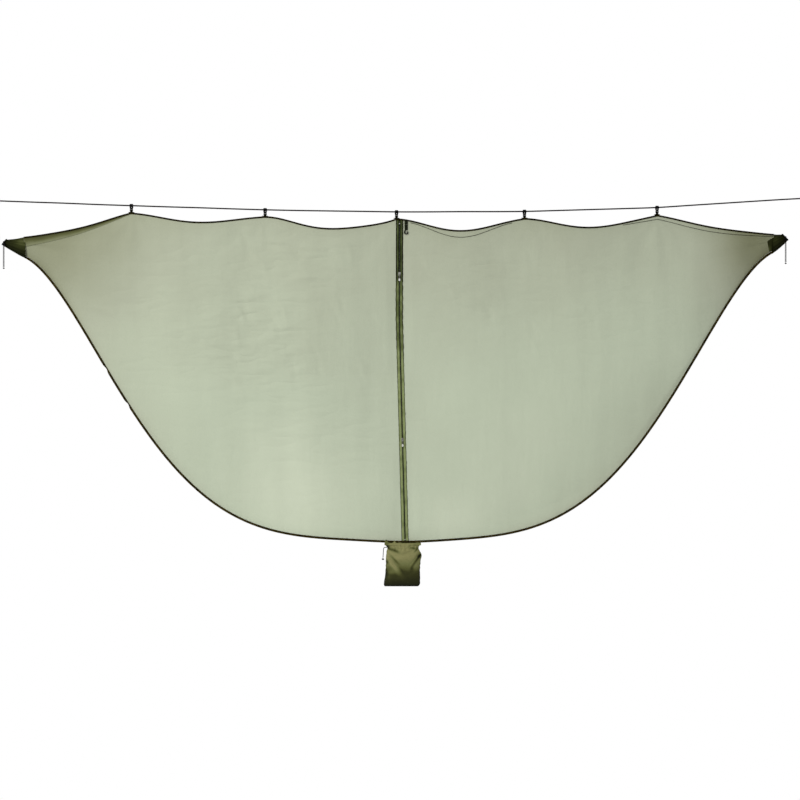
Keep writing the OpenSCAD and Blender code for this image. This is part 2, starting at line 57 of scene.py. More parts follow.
ROPE_ROUTE = np.array([
    [-1.762, 0, 0.049], [-1.680, 0, 0.046], [-1.600, 0, 0.043], [-1.450, 0, 0.038], [-1.300, 0, 0.032],
    [-1.150, 0, 0.027], [-1.000, 0, 0.022], [-0.860, 0, 0.018], [-0.710, 0, 0.013], [-0.570, 0, 0.009],
    [-0.430, 0, 0.006], [-0.290, 0, 0.004], [-0.140, 0, 0.002], [0, 0, 0], [0.140, 0, 0],
    [0.280, 0, 0.001], [0.420, 0, 0.001], [0.555, 0, 0.002], [0.700, 0, 0.006], [0.840, 0, 0.010],
    [0.980, 0, 0.014], [1.130, 0, 0.019], [1.270, 0, 0.028], [1.410, 0, 0.037], [1.550, 0, 0.046],
    [1.680, 0, 0.054], [1.792, 0, 0.060],
])
LOOP_HALF = np.array([
    [0.0068, 0.0046], [0.014, 0.009], [0.024, 0.012], [0.034, 0.014], [0.044, 0.0145],
    [0.054, 0.013], [0.061, 0.009], [0.065, 0.003],
])
LOOP_ROUTE = np.concatenate([LOOP_HALF, LOOP_HALF[::-1] * [1, -1]])
ROPE_D = 0.006
KNOT_R = 0.008

HOOK_X = np.array([-1.150, -0.570, 0, 0.555, 1.130])
HOOK_Z = np.array([0.027, 0.009, 0, 0.002, 0.019])
BAR_Z = -0.0223

PANEL_LEFT, PANEL_RIGHT = 1.615, 1.635
EDGE_X = np.array([-PANEL_LEFT, *HOOK_X, PANEL_RIGHT])
EDGE_Z = np.array([-0.109, -0.004, -0.020, -0.029, -0.028, -0.014, -0.097])
EDGE_SAG = np.array([0.015, 0.032, 0.047, 0.052, 0.045, 0.013])
EDGE_LEVEL = np.array([[0, 1], [0.8, 0.6], [1.05, -0.2], [0.85, 0.6], [0.85, 0.35], [1, 0.2]])
TOP_HEM, LOW_HEM = 0.007, 0.010
ROOF_HALF, ROOF_SWELL = 0.020, 0.012
BELLY = 0.038
SEAM_HALF, SEAM_GAP = 0.0021, 0.0002

DROP, SACK_SAG, SAG_X, SAG_REACH = 1.424, 0.012, 0.027, 0.150
CURVE_LEFT, CURVE_RIGHT = 1.665, 1.687
END_LEFT, END_RIGHT = 0.187, 0.165
SWEEP_INNER, SWEEP_OUTER = 3.72, 2.07

ZIP_TOP = np.array([0.013, -0.0199, -0.048])
ZIP_BEND = np.array([0.012, -0.0146, -0.460])
ZIP_LOW = np.array([0.037, -0.0022, -1.424])
ZIP_REACH = 0.0152
TAPE_GAP, TAPE_W = 0.0027, 0.0123
LEAN_REACH, FLAT_REACH = 0.5, 0.45

MOUTH = {"left": (-1.701, -0.131), "right": (1.685, -0.110)}
MOUTH_HALF = {"left": 0.014, "right": 0.017}
TILT = {"left": math.radians(40), "right": math.radians(45)}
RING_R, RING_WIRE = 0.011, 0.0026
DRAW_ROUTE = np.array([
    [0.0128, 0.0006], [0.0145, 0.0016], [0.0165, 0.0024], [0.0185, 0.0026], [0.0203, 0.0022],
    [0.0218, 0.0012], [0.023, -0.0002], [0.0238, -0.0018], [0.024, -0.0034], [0.024, -0.008],
    [0.024, -0.014], [0.024, -0.024], [0.024, -0.036], [0.024, -0.048], [0.024, -0.060],
    [0.024, -0.072], [0.024, -0.084], [0.024, -0.097], [0.024, -0.110],
])
STRAND_HALF = 0.0018
DRAW_D = 0.0026

SACK_STATIONS = np.array([
    [-1.4375, 0.0265, -0.009, 0.0795, 0.009], [-1.448, 0.0265, -0.008, 0.0725, 0.011],
    [-1.457, 0.0275, -0.007, 0.0675, 0.012], [-1.470, 0.029, -0.005, 0.072, 0.016],
    [-1.490, 0.032, -0.003, 0.077, 0.020], [-1.512, 0.0295, -0.001, 0.0755, 0.023],
    [-1.543, 0.0275, 0, 0.0745, 0.024], [-1.571, 0.0265, 0.0005, 0.0755, 0.023],
    [-1.597, 0.0245, 0.0005, 0.0775, 0.018], [-1.615, 0.023, 0, 0.078, 0.011],
    [-1.624, 0.021, 0, 0.073, 0.004],
])
SACK_CORD_ROUTE = np.array([
    [-0.042, -1.456], [-0.044, -1.4555], [-0.046, -1.455], [-0.048, -1.4546], [-0.050, -1.4546],
    [-0.052, -1.4552], [-0.0538, -1.4564], [-0.0552, -1.4582], [-0.056, -1.4604], [-0.0564, -1.463],
    [-0.0568, -1.468], [-0.0572, -1.474], [-0.0576, -1.480], [-0.058, -1.487], [-0.0584, -1.494],
    [-0.0588, -1.500],
])
SACK_CORD_Y, SACK_CORD_D = -0.007, 0.003


def smooth(v):
    """A ramp from 0 to 1 that eases in and out."""
    c = np.clip(v, 0, 1)
    return c * c * (3 - 2 * c)


def bell(v):
    """1 at 0, falling away on both sides."""
    return np.exp(-(v**2))


def span(x):
    """The stretch of top hem that each x lies on, and how far along it."""
    i = np.clip(np.searchsorted(EDGE_X, x, side="right") - 1, 0, len(EDGE_X) - 2)
    return i, np.clip((x - EDGE_X[i]) / (EDGE_X[i + 1] - EDGE_X[i]), 0, 1)


def top_z(x):
    """The top edge, which hangs from hook to hook."""
    i, t = span(x)
    level = EDGE_LEVEL[i, 0] + (EDGE_LEVEL[i, 1] - EDGE_LEVEL[i, 0]) * t
    sag = 4 * t * (1 - t) * (1 - level) + np.sin(np.pi * t) ** 2 * level
    return EDGE_Z[i] + (EDGE_Z[i + 1] - EDGE_Z[i]) * t - EDGE_SAG[i] * sag


def half_depth(x):
    """Half the roof's width, which is greatest midway between hooks."""
    return ROOF_HALF + ROOF_SWELL * np.sin(np.pi * span(x)[1]) ** 2


def low_z(x):
    """The bottom edge, drawn down a little where the sack hangs."""
    reach = np.where(x < 0, CURVE_LEFT, CURVE_RIGHT)
    end = np.where(x < 0, END_LEFT, END_RIGHT)
    u = np.minimum(np.abs(x) / reach, 1)
    sweep = (1 - u**SWEEP_INNER) ** SWEEP_OUTER
    return -end - (DROP - end) * sweep - SACK_SAG * np.exp(-(((x - SAG_X) / SAG_REACH) ** 2) / 2)


def inward(x):
    """The direction from the bottom edge into the net, as X and Z."""
    step = 0.001
    rise = low_z(x - step) - low_z(x + step)
    long = np.hypot(rise, 2 * step)
    return rise / long, 2 * step / long


def zip_x(z):
    """X of the zip's middle; its lower stretch runs on straight below its end."""
    below = 1.5
    run_on = (ZIP_LOW[0] - ZIP_BEND[0]) * (below + ZIP_LOW[2]) / (ZIP_BEND[2] - ZIP_LOW[2])
    return np.interp(-z, [0.0, -ZIP_TOP[2], -ZIP_BEND[2], below],
                     [ZIP_TOP[0], ZIP_TOP[0], ZIP_BEND[0], ZIP_LOW[0] + run_on])


def zip_y(z):
    return np.interp(-z, [-ZIP_TOP[2], -ZIP_BEND[2], -ZIP_LOW[2]], [ZIP_TOP[1], ZIP_BEND[1], ZIP_LOW[1]])


def wall(side, x, v):
    """A point of a wall of the net: side is -1 at the front, v runs from the top hem to the bottom."""
    lean = smooth(1 - np.abs(x - ZIP_TOP[0]) / LEAN_REACH) if side < 0 else 0 * x
    xb = x + lean * (ZIP_LOW[0] - ZIP_TOP[0])
    in_x, in_z = inward(xb)
    rise = LOW_HEM + SEAM_GAP
    top = top_z(x) - TOP_HEM - SEAM_GAP
    belly = BELLY * (1 - np.minimum(np.abs(x) / PANEL_RIGHT, 1) ** 4)
    if side < 0:
        belly = belly * smooth((np.abs(x - ZIP_TOP[0]) - ZIP_REACH) / FLAT_REACH)
    z = top + (low_z(xb) + rise * in_z - top) * v
    y = half_depth(x) + (SEAM_HALF - half_depth(x)) * v + belly * np.sin(np.pi * v)
    return x + lean * (zip_x(z) - ZIP_TOP[0]) + v * rise * in_x, side * y, z


def strokes(x, z, marks, bend=0.0):
    """Sum of soft strokes at each place: X, Z, half length, half width, turn and amount of each."""
    total = 0 * x * z
    for at_x, at_z, long, wide, turn, amount in marks:
        dx, dz = x - at_x, z - at_z
        along = dx * math.cos(turn) + dz * math.sin(turn)
        off = dz * math.cos(turn) - dx * math.sin(turn) + bend * along * along / long
        total = total + amount * np.exp(-((along / long) ** 2) - (off / wide) ** 2)
    return total


# ---- Mesh helpers ----

BRAID_SIDES, BRAID_DEPTH = 16, 0.04
KNOT_SIDES = 12
# Pitch, length and thickness of the stitches
HEM_STITCH = (0.0035, 0.0026, 0.0005)
ZIP_STITCH = (0.0032, 0.0024, 0.0004)
TAB_TACK = (0.0012, 0.0010, 0.0007)
STRAP_TACK = (0.0013, 0.0011, 0.0006)


def xyz(x, y, z):
    """Points from their coordinates, any of which may be one number for all."""
    return np.stack(np.broadcast_arrays(x, y, z), -1)


def around(count):
    """Angles of points set evenly round a circle."""
    return TAU * np.arange(count) / count


def unit(vectors):
    return vectors / np.maximum(np.linalg.norm(vectors, axis=1), 1e-9)[:, None]


def distance_along(line):
    """How far along a line each of its points lies."""
    return np.concatenate([[0], np.cumsum(np.linalg.norm(np.diff(line, axis=0), axis=1))])


def add(name, points, faces, material, node=None, body="net", soft=True):
    """A mesh piece that rides on a body; node is the CAD node it stands for."""
    mesh = bpy.data.meshes.new(name)
    mesh.from_pydata(np.asarray(points, float).reshape(-1, 3).tolist(), [], faces)
    mesh.validate()
    mesh.shade_smooth() if soft else mesh.shade_flat()
    mesh.materials.append(material)
    piece = bpy.data.objects.new(name, mesh)
    bpy.context.scene.collection.objects.link(piece)
    if body:
        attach(piece, body)
    if node:
        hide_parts(node)
    return piece


def grid_faces(rows, columns, wrap=False):
    """Quads over a grid of points laid out row by row; wrap joins the last column to the first."""
    r, c = np.meshgrid(np.arange(rows - 1), np.arange(columns if wrap else columns - 1), indexing="ij")
    a, b = r * columns + c, r * columns + (c + 1) % columns
    return np.stack([a, b, b + columns, a + columns], -1).reshape(-1, 4).tolist()


def tube_faces(rings, sides):
    """Quads round a tube made of rings, and a face over each of its ends."""
    last = (rings - 1) * sides
    ends = [list(range(sides))[::-1], [last + i for i in range(sides)]]
    return grid_faces(rings, sides, wrap=True) + ends


def ring_faces(rings, sides):
    """Quads round a tube whose last ring joins its first."""
    return [[i % (rings * sides) for i in face] for face in grid_faces(rings + 1, sides, wrap=True)]


def flipped(faces):
    return [face[::-1] for face in faces]


def resampled(route, step):
    """A smooth line through a route's points, with points a step apart."""
    route = np.asarray(route, float)
    at = distance_along(route)
    slope = np.gradient(route, at, axis=0)
    s = np.linspace(0, at[-1], max(2, int(at[-1] / step) + 1))
    i = np.clip(np.searchsorted(at, s, side="right") - 1, 0, len(at) - 2)
    h = (at[i + 1] - at[i])[:, None]
    t = (s - at[i])[:, None] / h
    return (
        (1 + 2 * t) * (1 - t) ** 2 * route[i] + t * (1 - t) ** 2 * h * slope[i]
        + t * t * (3 - 2 * t) * route[i + 1] + t * t * (t - 1) * h * slope[i + 1]
    )


def frames(line, across):
    """Two directions square to a line at each of its points; across is one it never takes."""
    ahead = unit(np.gradient(line, axis=0))
    u = unit(np.cross(ahead, np.asarray(across, float)))
    return u, np.cross(ahead, u)


def rings(line, u, w, radius, sides):
    """Points of the rings round a line, in the plane of u and w at each of its points."""
    a = around(sides)[None, :, None]
    return line[:, None] + radius * (np.cos(a) * u[:, None] + np.sin(a) * w[:, None])


def tube_mesh(line, radius, sides, across):
    """Points and faces of a closed tube along a line; radius is a number or (points, sides) numbers."""
    radius = np.broadcast_to(radius, (len(line), sides))[:, :, None]
    return rings(line, *frames(line, across), radius, sides), tube_faces(len(line), sides)


def braided(line, d, pitch):
    """Radius of a braided cord: two sets of strands that cross, seen as small diamonds."""
    s = distance_along(line)[:, None]
    strands = BRAID_SIDES // 4 * around(BRAID_SIDES)[None]
    crossed = np.cos(strands + TAU * s / pitch) * np.cos(strands - TAU * s / pitch)
    return d / 2 * (1 - BRAID_DEPTH / 2 + BRAID_DEPTH / 2 * crossed)


def braid(name, route, d, material, across, pitch, slot, node, body):
    """A braided cord along a route, and the line that it follows."""
    line = resampled(route, pitch / 5)
    points, faces = tube_mesh(line, braided(line, d, pitch), BRAID_SIDES, across)
    return add(name, points, faces, material, node, body), line


def overhand(name, centre, reach, d, axis, material, node, body):
    """A tight overhand knot: a tube along a trefoil that winds round an axis."""
    t = np.linspace(0, TAU, 121)[:-1]
    flat = np.stack([np.sin(t) + 2 * np.sin(2 * t), np.cos(t) - 2 * np.cos(2 * t), -1.6 * np.sin(3 * t)])
    flat = flat.T * (reach - d / 2) / 3
    order = {"x": [2, 0, 1], "z": [0, 1, 2]}[axis]
    line = np.asarray(centre, float) + flat[:, order]
    ahead = unit(np.roll(line, -1, 0) - np.roll(line, 1, 0))
    u = unit(np.cross(ahead, line - np.asarray(centre)))
    points = rings(line, u, np.cross(ahead, u), d / 2, KNOT_SIDES)
    return add(name, points, ring_faces(len(line), KNOT_SIDES), material, node, body)


def stitches(name, line, outward, stitch):
    """A row of short raised stitches along a line on the net; outward is the way they stand proud."""
    pitch, long, thick = stitch
    s = distance_along(line)
    at = np.arange(pitch / 2, s[-1], pitch)
    middle = xyz(*(np.interp(at, s, line[:, k]) for k in range(3)))
    end = xyz(*(np.interp(at + long / 2, s, line[:, k]) for k in range(3)))
    out = np.asarray(outward, float)
    ahead = unit(end - middle)
    side = np.cross(ahead, out)
    corners = []
    for along, lift, wide in ((-0.5, -0.3, 0.35), (-0.3, 0.5, 0.5), (0.3, 0.5, 0.5), (0.5, -0.3, 0.35)):
        for way in (-1, 1):
            corners.append(middle + along * long * ahead + lift * thick * out + way * wide * thick * side)
    base = np.array([[0, 1, 3, 2], [2, 3, 5, 4], [4, 5, 7, 6], [6, 7, 1, 0], [0, 2, 4, 6], [1, 7, 5, 3]])
    faces = (base[None] + 8 * np.arange(len(at))[:, None, None]).reshape(-1, 4).tolist()
    add(name, np.stack(corners, 1), faces, THREAD, soft=False)


def thicken(piece, thickness):
    """Gives a cloth its thickness, half to each side."""
    solid = piece.modifiers.new("thickness", "SOLIDIFY")
    solid.thickness = thickness
    solid.offset = 0


def set_tone(piece, values, name="tone"):
    """Stores a value at each point of a piece, which its material reads."""
    attribute = piece.data.attributes.new(name, "FLOAT", "POINT")
    attribute.data.foreach_set("value", np.asarray(values, np.float32).ravel())


# ---- Materials ----


class Shader:
    """A Principled material whose colour and bump come from procedural nodes."""

    def __init__(self, name, rough, shine=0.5, **sockets):
        self.material = bpy.data.materials.new(name)
        self.material.use_nodes = True
        self.tree = self.material.node_tree
        self.bsdf = self.tree.nodes["Principled BSDF"]
        self.bsdf.inputs["Roughness"].default_value = rough
        self.bsdf.inputs["Specular IOR Level"].default_value = shine
        for socket, value in sockets.items():
            self.bsdf.inputs[socket].default_value = value
        self.coords = self.tree.nodes.new("ShaderNodeTexCoord").outputs["Object"]

    def link(self, source, socket):
        self.tree.links.new(source, socket)

    def node(self, kind, links=(), **settings):
        made = self.tree.nodes.new("ShaderNode" + kind)
        for key, value in settings.items():
            if key in made.inputs:
                made.inputs[key].default_value = value
            else:
                setattr(made, key, value)
        for socket, source in dict(links).items():
            self.link(source, made.inputs[socket])
        return made

    def noise(self, scale, detail=3.0, stretch=(1, 1, 1)):
        moved = self.node("Mapping", {"Vector": self.coords}, Scale=stretch)
        return self.node("TexNoise", {"Vector": moved.outputs[0]}, Scale=scale, Detail=detail).outputs["Fac"]

    def bands(self, axis, pitch, turned=0.0):
        """A wave from 0 to 1 along an axis, one every pitch metres; turned tips it about Y."""
        moved = self.node("Mapping", {"Vector": self.coords}, Rotation=(0, turned, 0))
        made = self.node("TexWave", {"Vector": moved.outputs[0]}, bands_direction=axis,
                         Scale=TAU / 20 / pitch)
        return made.outputs["Fac"]

    def threads(self, pitch):
        """Threads along X and Z, one every pitch metres."""
        return self.math("MAXIMUM", self.bands("X", pitch), self.bands("Z", pitch))

    def math(self, operation, a, b):
        made = self.node("Math", operation=operation)
        for i, value in enumerate((a, b)):
            if isinstance(value, (int, float)):
                made.inputs[i].default_value = value
            else:
                self.link(value, made.inputs[i])
        return made.outputs[0]

    def attribute(self, name):
        return self.node("Attribute", attribute_name=name).outputs["Fac"]

    def colour(self, fac, *stops):
        """Colours the surface by a ramp over fac: each stop is (place, (r, g, b))."""
        ramp = self.node("ValToRGB", {"Fac": fac})
        while len(ramp.color_ramp.elements) < len(stops):
            ramp.color_ramp.elements.new(0.5)
        for element, (place, rgb) in zip(ramp.color_ramp.elements, stops):
            element.position = place
            element.color = (*rgb, 1)
        self.link(ramp.outputs["Color"], self.bsdf.inputs["Base Color"])
        return self

    def shade(self, fac, amount):
        """Multiplies the colour by a pattern, from 1 - amount to 1."""
        source = self.bsdf.inputs["Base Color"].links[0].from_socket
        level = self.math("ADD", self.math("MULTIPLY", fac, amount), 1 - amount)
        made = self.node("VectorMath", operation="SCALE")
        self.link(source, made.inputs[0])
        self.link(level, made.inputs["Scale"])
        self.link(made.outputs[0], self.bsdf.inputs["Base Color"])
        return self

    def bump(self, height, distance):
        """Adds a bump of a height in metres on top of those before it."""
        made = self.node("Bump", {"Height": height}, Distance=distance, Strength=1.0)
        before = self.bsdf.inputs["Normal"].links
        if before:
            self.link(before[0].from_socket, made.inputs["Normal"])
        self.link(made.outputs[0], self.bsdf.inputs["Normal"])
        return self

    def roughness(self, fac, low, high):
        made = self.node("MapRange", {"Value": fac})
        made.inputs["To Min"].default_value = low
        made.inputs["To Max"].default_value = high
        self.link(made.outputs[0], self.bsdf.inputs["Roughness"])
        return self


def weave(shader, pitch, depth, gaps=0.22):
    """Threads that cross at a pitch, as bump and as slightly darker gaps."""
    threads = shader.threads(pitch)
    return shader.shade(threads, gaps).bump(threads, depth)


def mesh_cloth():
    """Fine netting: seen a little through, with soft folds and the creases of its packing."""
    s = Shader("net_mesh", 0.85, 0.12, Alpha=0.9)
    # The colour ramp runs over the tone attribute, which holds the net's painted light and shade.
    tone = s.math("ADD", s.attribute("tone"), s.math("MULTIPLY", s.noise(3.5, 4), 0.16))
    s.colour(tone, (0.0, (0.100, 0.102, 0.046)), (0.25, (0.210, 0.220, 0.146)), (0.5, (0.296, 0.317, 0.235)),
             (0.75, (0.355, 0.395, 0.296)), (1.0, (0.421, 0.460, 0.350)))
    s.shade(s.noise(9, 5, stretch=(1, 1, 0.25)), 0.08)
    weave(s, 0.0012, 0.00012)
    field = s.math("ABSOLUTE", s.math("SUBTRACT", s.noise(11, 1.5, stretch=(0.55, 1, 1.5)), 0.5), 0)
    s.bump(s.math("MULTIPLY", field, s.attribute("crumple")), 0.020)
    return s.bump(s.noise(5, 4, stretch=(1, 1, 0.18)), 0.012).material


def ripstop(name, dark, middle, light):
    """Close cloth with a raised grid of thicker threads."""
    s = Shader(name, 0.7, 0.02)
    tone = s.math("ADD", s.attribute("tone"), s.math("MULTIPLY", s.noise(30, 5), 0.16))
    s.colour(tone, (0.08, dark), (0.5, middle), (1.0, light))
    weave(s, 0.0005, 0.00004)
    s.bump(s.math("POWER", s.threads(0.006), 10), 0.0002)
    return s.bump(s.noise(90, 3), 0.0005).material


def tape(name, dark, light, pitch=0.0009):
    """Grosgrain or webbing: ribs across the tape over a slightly uneven dye."""
    s = Shader(name, 0.85, 0.0)
    s.colour(s.noise(40, 4), (0.3, dark), (0.7, light))
    return weave(s, pitch, 0.0002, 0.3).material


def zip_cloth():
    """Woven zip tape, its dye darker towards the edges and the coil."""
    s = Shader("zip_tape", 0.85, 0.02)
    s.colour(s.attribute("tone"), (0.0, (0.003, 0.004, 0.001)), (0.3, (0.012, 0.017, 0.005)),
             (0.6, (0.040, 0.052, 0.019)), (0.8, (0.078, 0.096, 0.034)), (1.0, (0.170, 0.200, 0.086)))
    return weave(s, 0.0007, 0.0002, 0.25).material


def plastic(name, dark, light, rough=0.42):
    """Moulded nylon: fine spark-eroded grain, rubbed a little shinier in places."""
    s = Shader(name, rough, 0.02)
    s.colour(s.noise(60, 4), (0.3, dark), (0.8, light))
    s.roughness(s.noise(35, 3), rough - 0.1, rough + 0.15)
    return s.bump(s.noise(1800, 2), 0.00005).material


def metal(name, dark, light, rough):
    """Plated metal with fine wear that runs down it."""
    s = Shader(name, rough, Metallic=1.0)
    s.colour(s.noise(120, 5), (0.3, dark), (0.7, light))
    s.roughness(s.noise(400, 4, stretch=(1, 1, 0.15)), rough * 0.7, rough * 1.6)
    return s.bump(s.noise(400, 3, stretch=(1, 1, 0.1)), 0.00003).material


def glint_metal():
    """Nickel that has gone dull, with a painted highlight at the low end of each part."""
    s = Shader("nickel_painted_glint", 0.4, Metallic=1.0)
    place = s.node("TexCoord").outputs["Generated"]
    height = s.node("SeparateXYZ", {"Vector": place}).outputs["Z"]
    uneven = s.math("ADD", height, s.math("MULTIPLY", s.noise(300, 3), 0.1))
    # Painted highlight: light at the bottom of the part, dark from the middle up.
    s.colour(uneven, (0.10, (0.80, 0.80, 0.76)), (0.32, (0.50, 0.50, 0.46)), (0.45, (0.05, 0.05, 0.04)),
             (1.0, (0.12, 0.12, 0.10)))
    return s.bump(s.noise(500, 3), 0.00003).material


def cord_cloth(name, dark, light, pitch):
    """Braided cord: crossing strands of slightly different dye."""
    s = Shader(name, 0.9, 0.0)
    strands = s.math("MULTIPLY", s.bands("X", pitch, 0.7), s.bands("Z", pitch, 0.7))
    s.colour(s.math("ADD", s.math("MULTIPLY", strands, 0.4), s.math("MULTIPLY", s.noise(25, 4), 0.7)),
             (0.25, dark), (0.8, light))
    return s.bump(s.noise(2500, 3), 0.0001).material


def sack_cloth():
    """Thin plain-woven nylon."""
    s = Shader("sack_taffeta", 0.7, 0.05)
    tone = s.math("ADD", s.attribute("tone"), s.math("MULTIPLY", s.noise(45, 4), 0.12))
    s.colour(tone, (0.05, (0.0012, 0.0012, 0.0004)), (0.26, (0.0106, 0.0116, 0.0035)),
             (0.46, (0.0250, 0.0260, 0.0070)), (0.66, (0.0600, 0.0630, 0.0190)),
             (0.86, (0.1000, 0.1050, 0.0390)), (1.0, (0.1500, 0.1440, 0.0600)))
    weave(s, 0.0004, 0.00003)
    return s.bump(s.noise(70, 5, stretch=(1, 1, 0.6)), 0.0016).material


MESH = mesh_cloth()
SLEEVE = ripstop("sleeve_ripstop", (0.0015, 0.0015, 0.0005), (0.020, 0.023, 0.006), (0.075, 0.082, 0.030))
BAND = ripstop("roof_ripstop", (0.012, 0.012, 0.004), (0.062, 0.066, 0.026), (0.175, 0.185, 0.115))
BINDING = tape("binding", (0.001, 0.001, 0.0005), (0.013, 0.010, 0.002))
LOW_BINDING = tape("low_binding", (0.004, 0.003, 0.001), (0.034, 0.026, 0.006))
WEBBING = tape("webbing", (0.003, 0.003, 0.002), (0.009, 0.010, 0.006), 0.0011)
STRAP = tape("strap_webbing", (0.004, 0.005, 0.003), (0.014, 0.016, 0.009), 0.0011)
ZIP_TAPE = zip_cloth()
THREAD = tape("thread", (0.006, 0.006, 0.002), (0.022, 0.020, 0.007), 0.0004)
BLACK = plastic("black_nylon", (0.001, 0.001, 0.001), (0.004, 0.004, 0.004))
COIL = plastic("zip_coil_nylon", (0.001, 0.001, 0.0005), (0.003, 0.004, 0.002), 0.8)
NICKEL = metal("nickel", (0.10, 0.10, 0.08), (0.34, 0.34, 0.31), 0.3)
NICKEL_GLINT = glint_metal()
SPRING = metal("spring_wire", (0.40, 0.40, 0.40), (0.62, 0.62, 0.62), 0.3)
ROPE = cord_cloth("rope_braid", (0.001, 0.001, 0.001), (0.008, 0.003, 0.003), 0.004)
CORD = cord_cloth("draw_braid", (0.001, 0.001, 0.001), (0.008, 0.005, 0.004), 0.002)
KNOT = cord_cloth("knot_braid", (0.002, 0.002, 0.001), (0.012, 0.010, 0.006), 0.002)
SACK = sack_cloth()


# ---- Camera ----

SENSOR = 36
EYE_DISTANCE = 14.0
VIEW_WIDTH = 3.470
VIEW_CENTRE = (0.015, -0.816)
camera_data = bpy.data.cameras.new("camera")
camera_data.sensor_width = SENSOR
camera_data.lens = SENSOR * EYE_DISTANCE / VIEW_WIDTH
camera_data.clip_start, camera_data.clip_end = 0.1, 60
camera = bpy.data.objects.new("camera", camera_data)
camera.location = (VIEW_CENTRE[0], -EYE_DISTANCE, VIEW_CENTRE[1])
camera.rotation_euler = (math.pi / 2, 0, 0)
bpy.context.scene.collection.objects.link(camera)
bpy.context.scene.camera = camera


# ---- Cords ----


def ridge_line():
    """The taut rope, with a knot and a loop at each end just outside the view."""
    kind = (ROPE_D, ROPE, (0, 1, 0), 0.006, "rope")
    rope, line = braid("ridge_rope_braid", ROPE_ROUTE, *kind, "ridge_rope", "ridge_line")
    on_it = []
    for name, way in SIDES.items():
        end = ROPE_ROUTE[0 if way < 0 else -1] + np.array([way * KNOT_R, 0, 0])
        knot = overhand(f"ridge_overhand_{name}", end, KNOT_R, 0.0056, "x", ROPE,
                        f"ridge_knot_{name}", "ridge_line")
        route = end + xyz(way * LOOP_ROUTE[:, 0], 0, LOOP_ROUTE[:, 1])
        loop, _ = braid(f"ridge_loop_braid_{name}", route, *kind, f"ridge_loop_{name}", "ridge_line")
        on_it += [knot, loop]


def drawcords():
    """Two strands out of each mouth, down to one knot."""
    for name, (x, z) in MOUTH.items():
        end = (x, -DRAW_ROUTE[-1, 0], z + DRAW_ROUTE[-1, 1] - 0.0045)
        knot = overhand(f"draw_overhand_{name}", end, 0.0042, 0.0026, "z", KNOT,
                        f"drawcord_knot_{name}", "net")
        for strand, offset in (("a", -STRAND_HALF), ("b", STRAND_HALF)):
            route = xyz(x + offset, -DRAW_ROUTE[:, 0], z + DRAW_ROUTE[:, 1])
            piece, line = braid(f"draw_strand_{name}_{strand}", route, DRAW_D, CORD, (1, 0, 0), 0.0032,
                                "drawcord", f"drawcord_{name}", "net")


def sack_cord():
    """The sack's drawcord from its neck down to its knot."""
    route = xyz(SACK_CORD_ROUTE[:, 0], SACK_CORD_Y, SACK_CORD_ROUTE[:, 1])
    piece, line = braid("sack_cord_braid", route, SACK_CORD_D, CORD, (0, 1, 0), 0.0042,
                        "drawcord", "sack_cord", "sack")
    knot = overhand("sack_overhand", route[-1] - [0, 0, 0.006], 0.0052, 0.0036, "z", KNOT,
                    "sack_cord_knot", "sack")


ridge_line()
drawcords()
sack_cord()


# ---- The net's panels ----

rng = np.random.default_rng(11)
# Height and reach of the tension folds below each hook and beside each sleeve
HOOK_FOLD, HOOK_FOLD_REACH = 0.0012, 0.34
END_FOLD, END_FOLD_REACH = 0.0018, 0.25
BROAD_FOLD, CREASE_BEND = 0.006, 0.35
HEM_FADE, END_FADE, ZIP_FADE = 0.05, 0.06, 0.05


def hook_folds(x, z, at_x, at_z, count, phase):
    """Folds that fan down from a hook: a wave round it, which fades with distance."""
    dx, dz = x - at_x, at_z - z
    r = np.hypot(dx, dz)
    angle = np.arctan2(dx, np.maximum(dz, 1e-6))
    wobble = 0.25 * np.sin(7 * r + phase)
    return np.sin(count * (angle + wobble) + phase) * np.exp(-r / HOOK_FOLD_REACH) * smooth(r / 0.10)


def end_folds(x, z, at_x, at_z, phase):
    """Folds that fan out of a sleeve's seam."""
    dx, dz = np.abs(x - at_x), z - at_z
    r = np.hypot(dx, dz)
    angle = np.arctan2(dz, np.maximum(dx, 1e-6))
    fan = np.sin(11 * angle + phase + 6 * r + 1.5 * np.sin(5 * angle))
    return fan * np.exp(-r / END_FOLD_REACH) * smooth(r / 0.08)


def folds(side, x, z, v):
    """How far the cloth stands out of its plain wall."""
    total = 0 * x * v
    for k in range(len(HOOK_X)):
        phase = 1.7 * k + (0 if side < 0 else 2.1)
        total = total + HOOK_FOLD * hook_folds(x, z, HOOK_X[k], EDGE_Z[k + 1], 9 + k % 3, phase)
    for at_x, at_z, phase in ((-PANEL_LEFT, -0.14, 1), (PANEL_RIGHT, -0.13, 2)):
        total = total + END_FOLD * end_folds(x, z, at_x, at_z, phase)
    broad = np.sin(5.1 * x + 1.3 * np.sin(2.3 * z + side)) * np.sin(3.7 * z + 1.1 * x)
    hems = smooth(v / HEM_FADE) * smooth((1 - v) / HEM_FADE)
    ends = smooth((PANEL_LEFT + x) / END_FADE) * smooth((PANEL_RIGHT - x) / END_FADE)
    creases = strokes(x, z, CREASES[side], CREASE_BEND)
    total = (total + BROAD_FOLD * broad + creases) * hems * ends
    if side < 0:
        total = total * smooth((np.abs(x - zip_x(z)) - ZIP_REACH) / ZIP_FADE)
    return total


def crease_set(count, low, high):
    """Short soft creases left by the packing: centre, length, width, turn and height of each."""
    limits = [(low[0], high[0]), (low[1], high[1]), (0.03, 0.11), (0.007, 0.014), (-1.2, -0.2),
              (-0.0034, 0.0034)]
    return [[rng.uniform(*limit) for limit in limits] for _ in range(count)]


CREASES = {
    -1: crease_set(46, (-0.75, -0.75), (-0.15, -0.12)) + crease_set(26, (-1.35, -0.60), (1.2, -0.15))
    + crease_set(12, (0.08, -0.55), (0.6, -0.12)),
    1: crease_set(30, (-1.1, -0.9), (1.1, -0.2)),
}
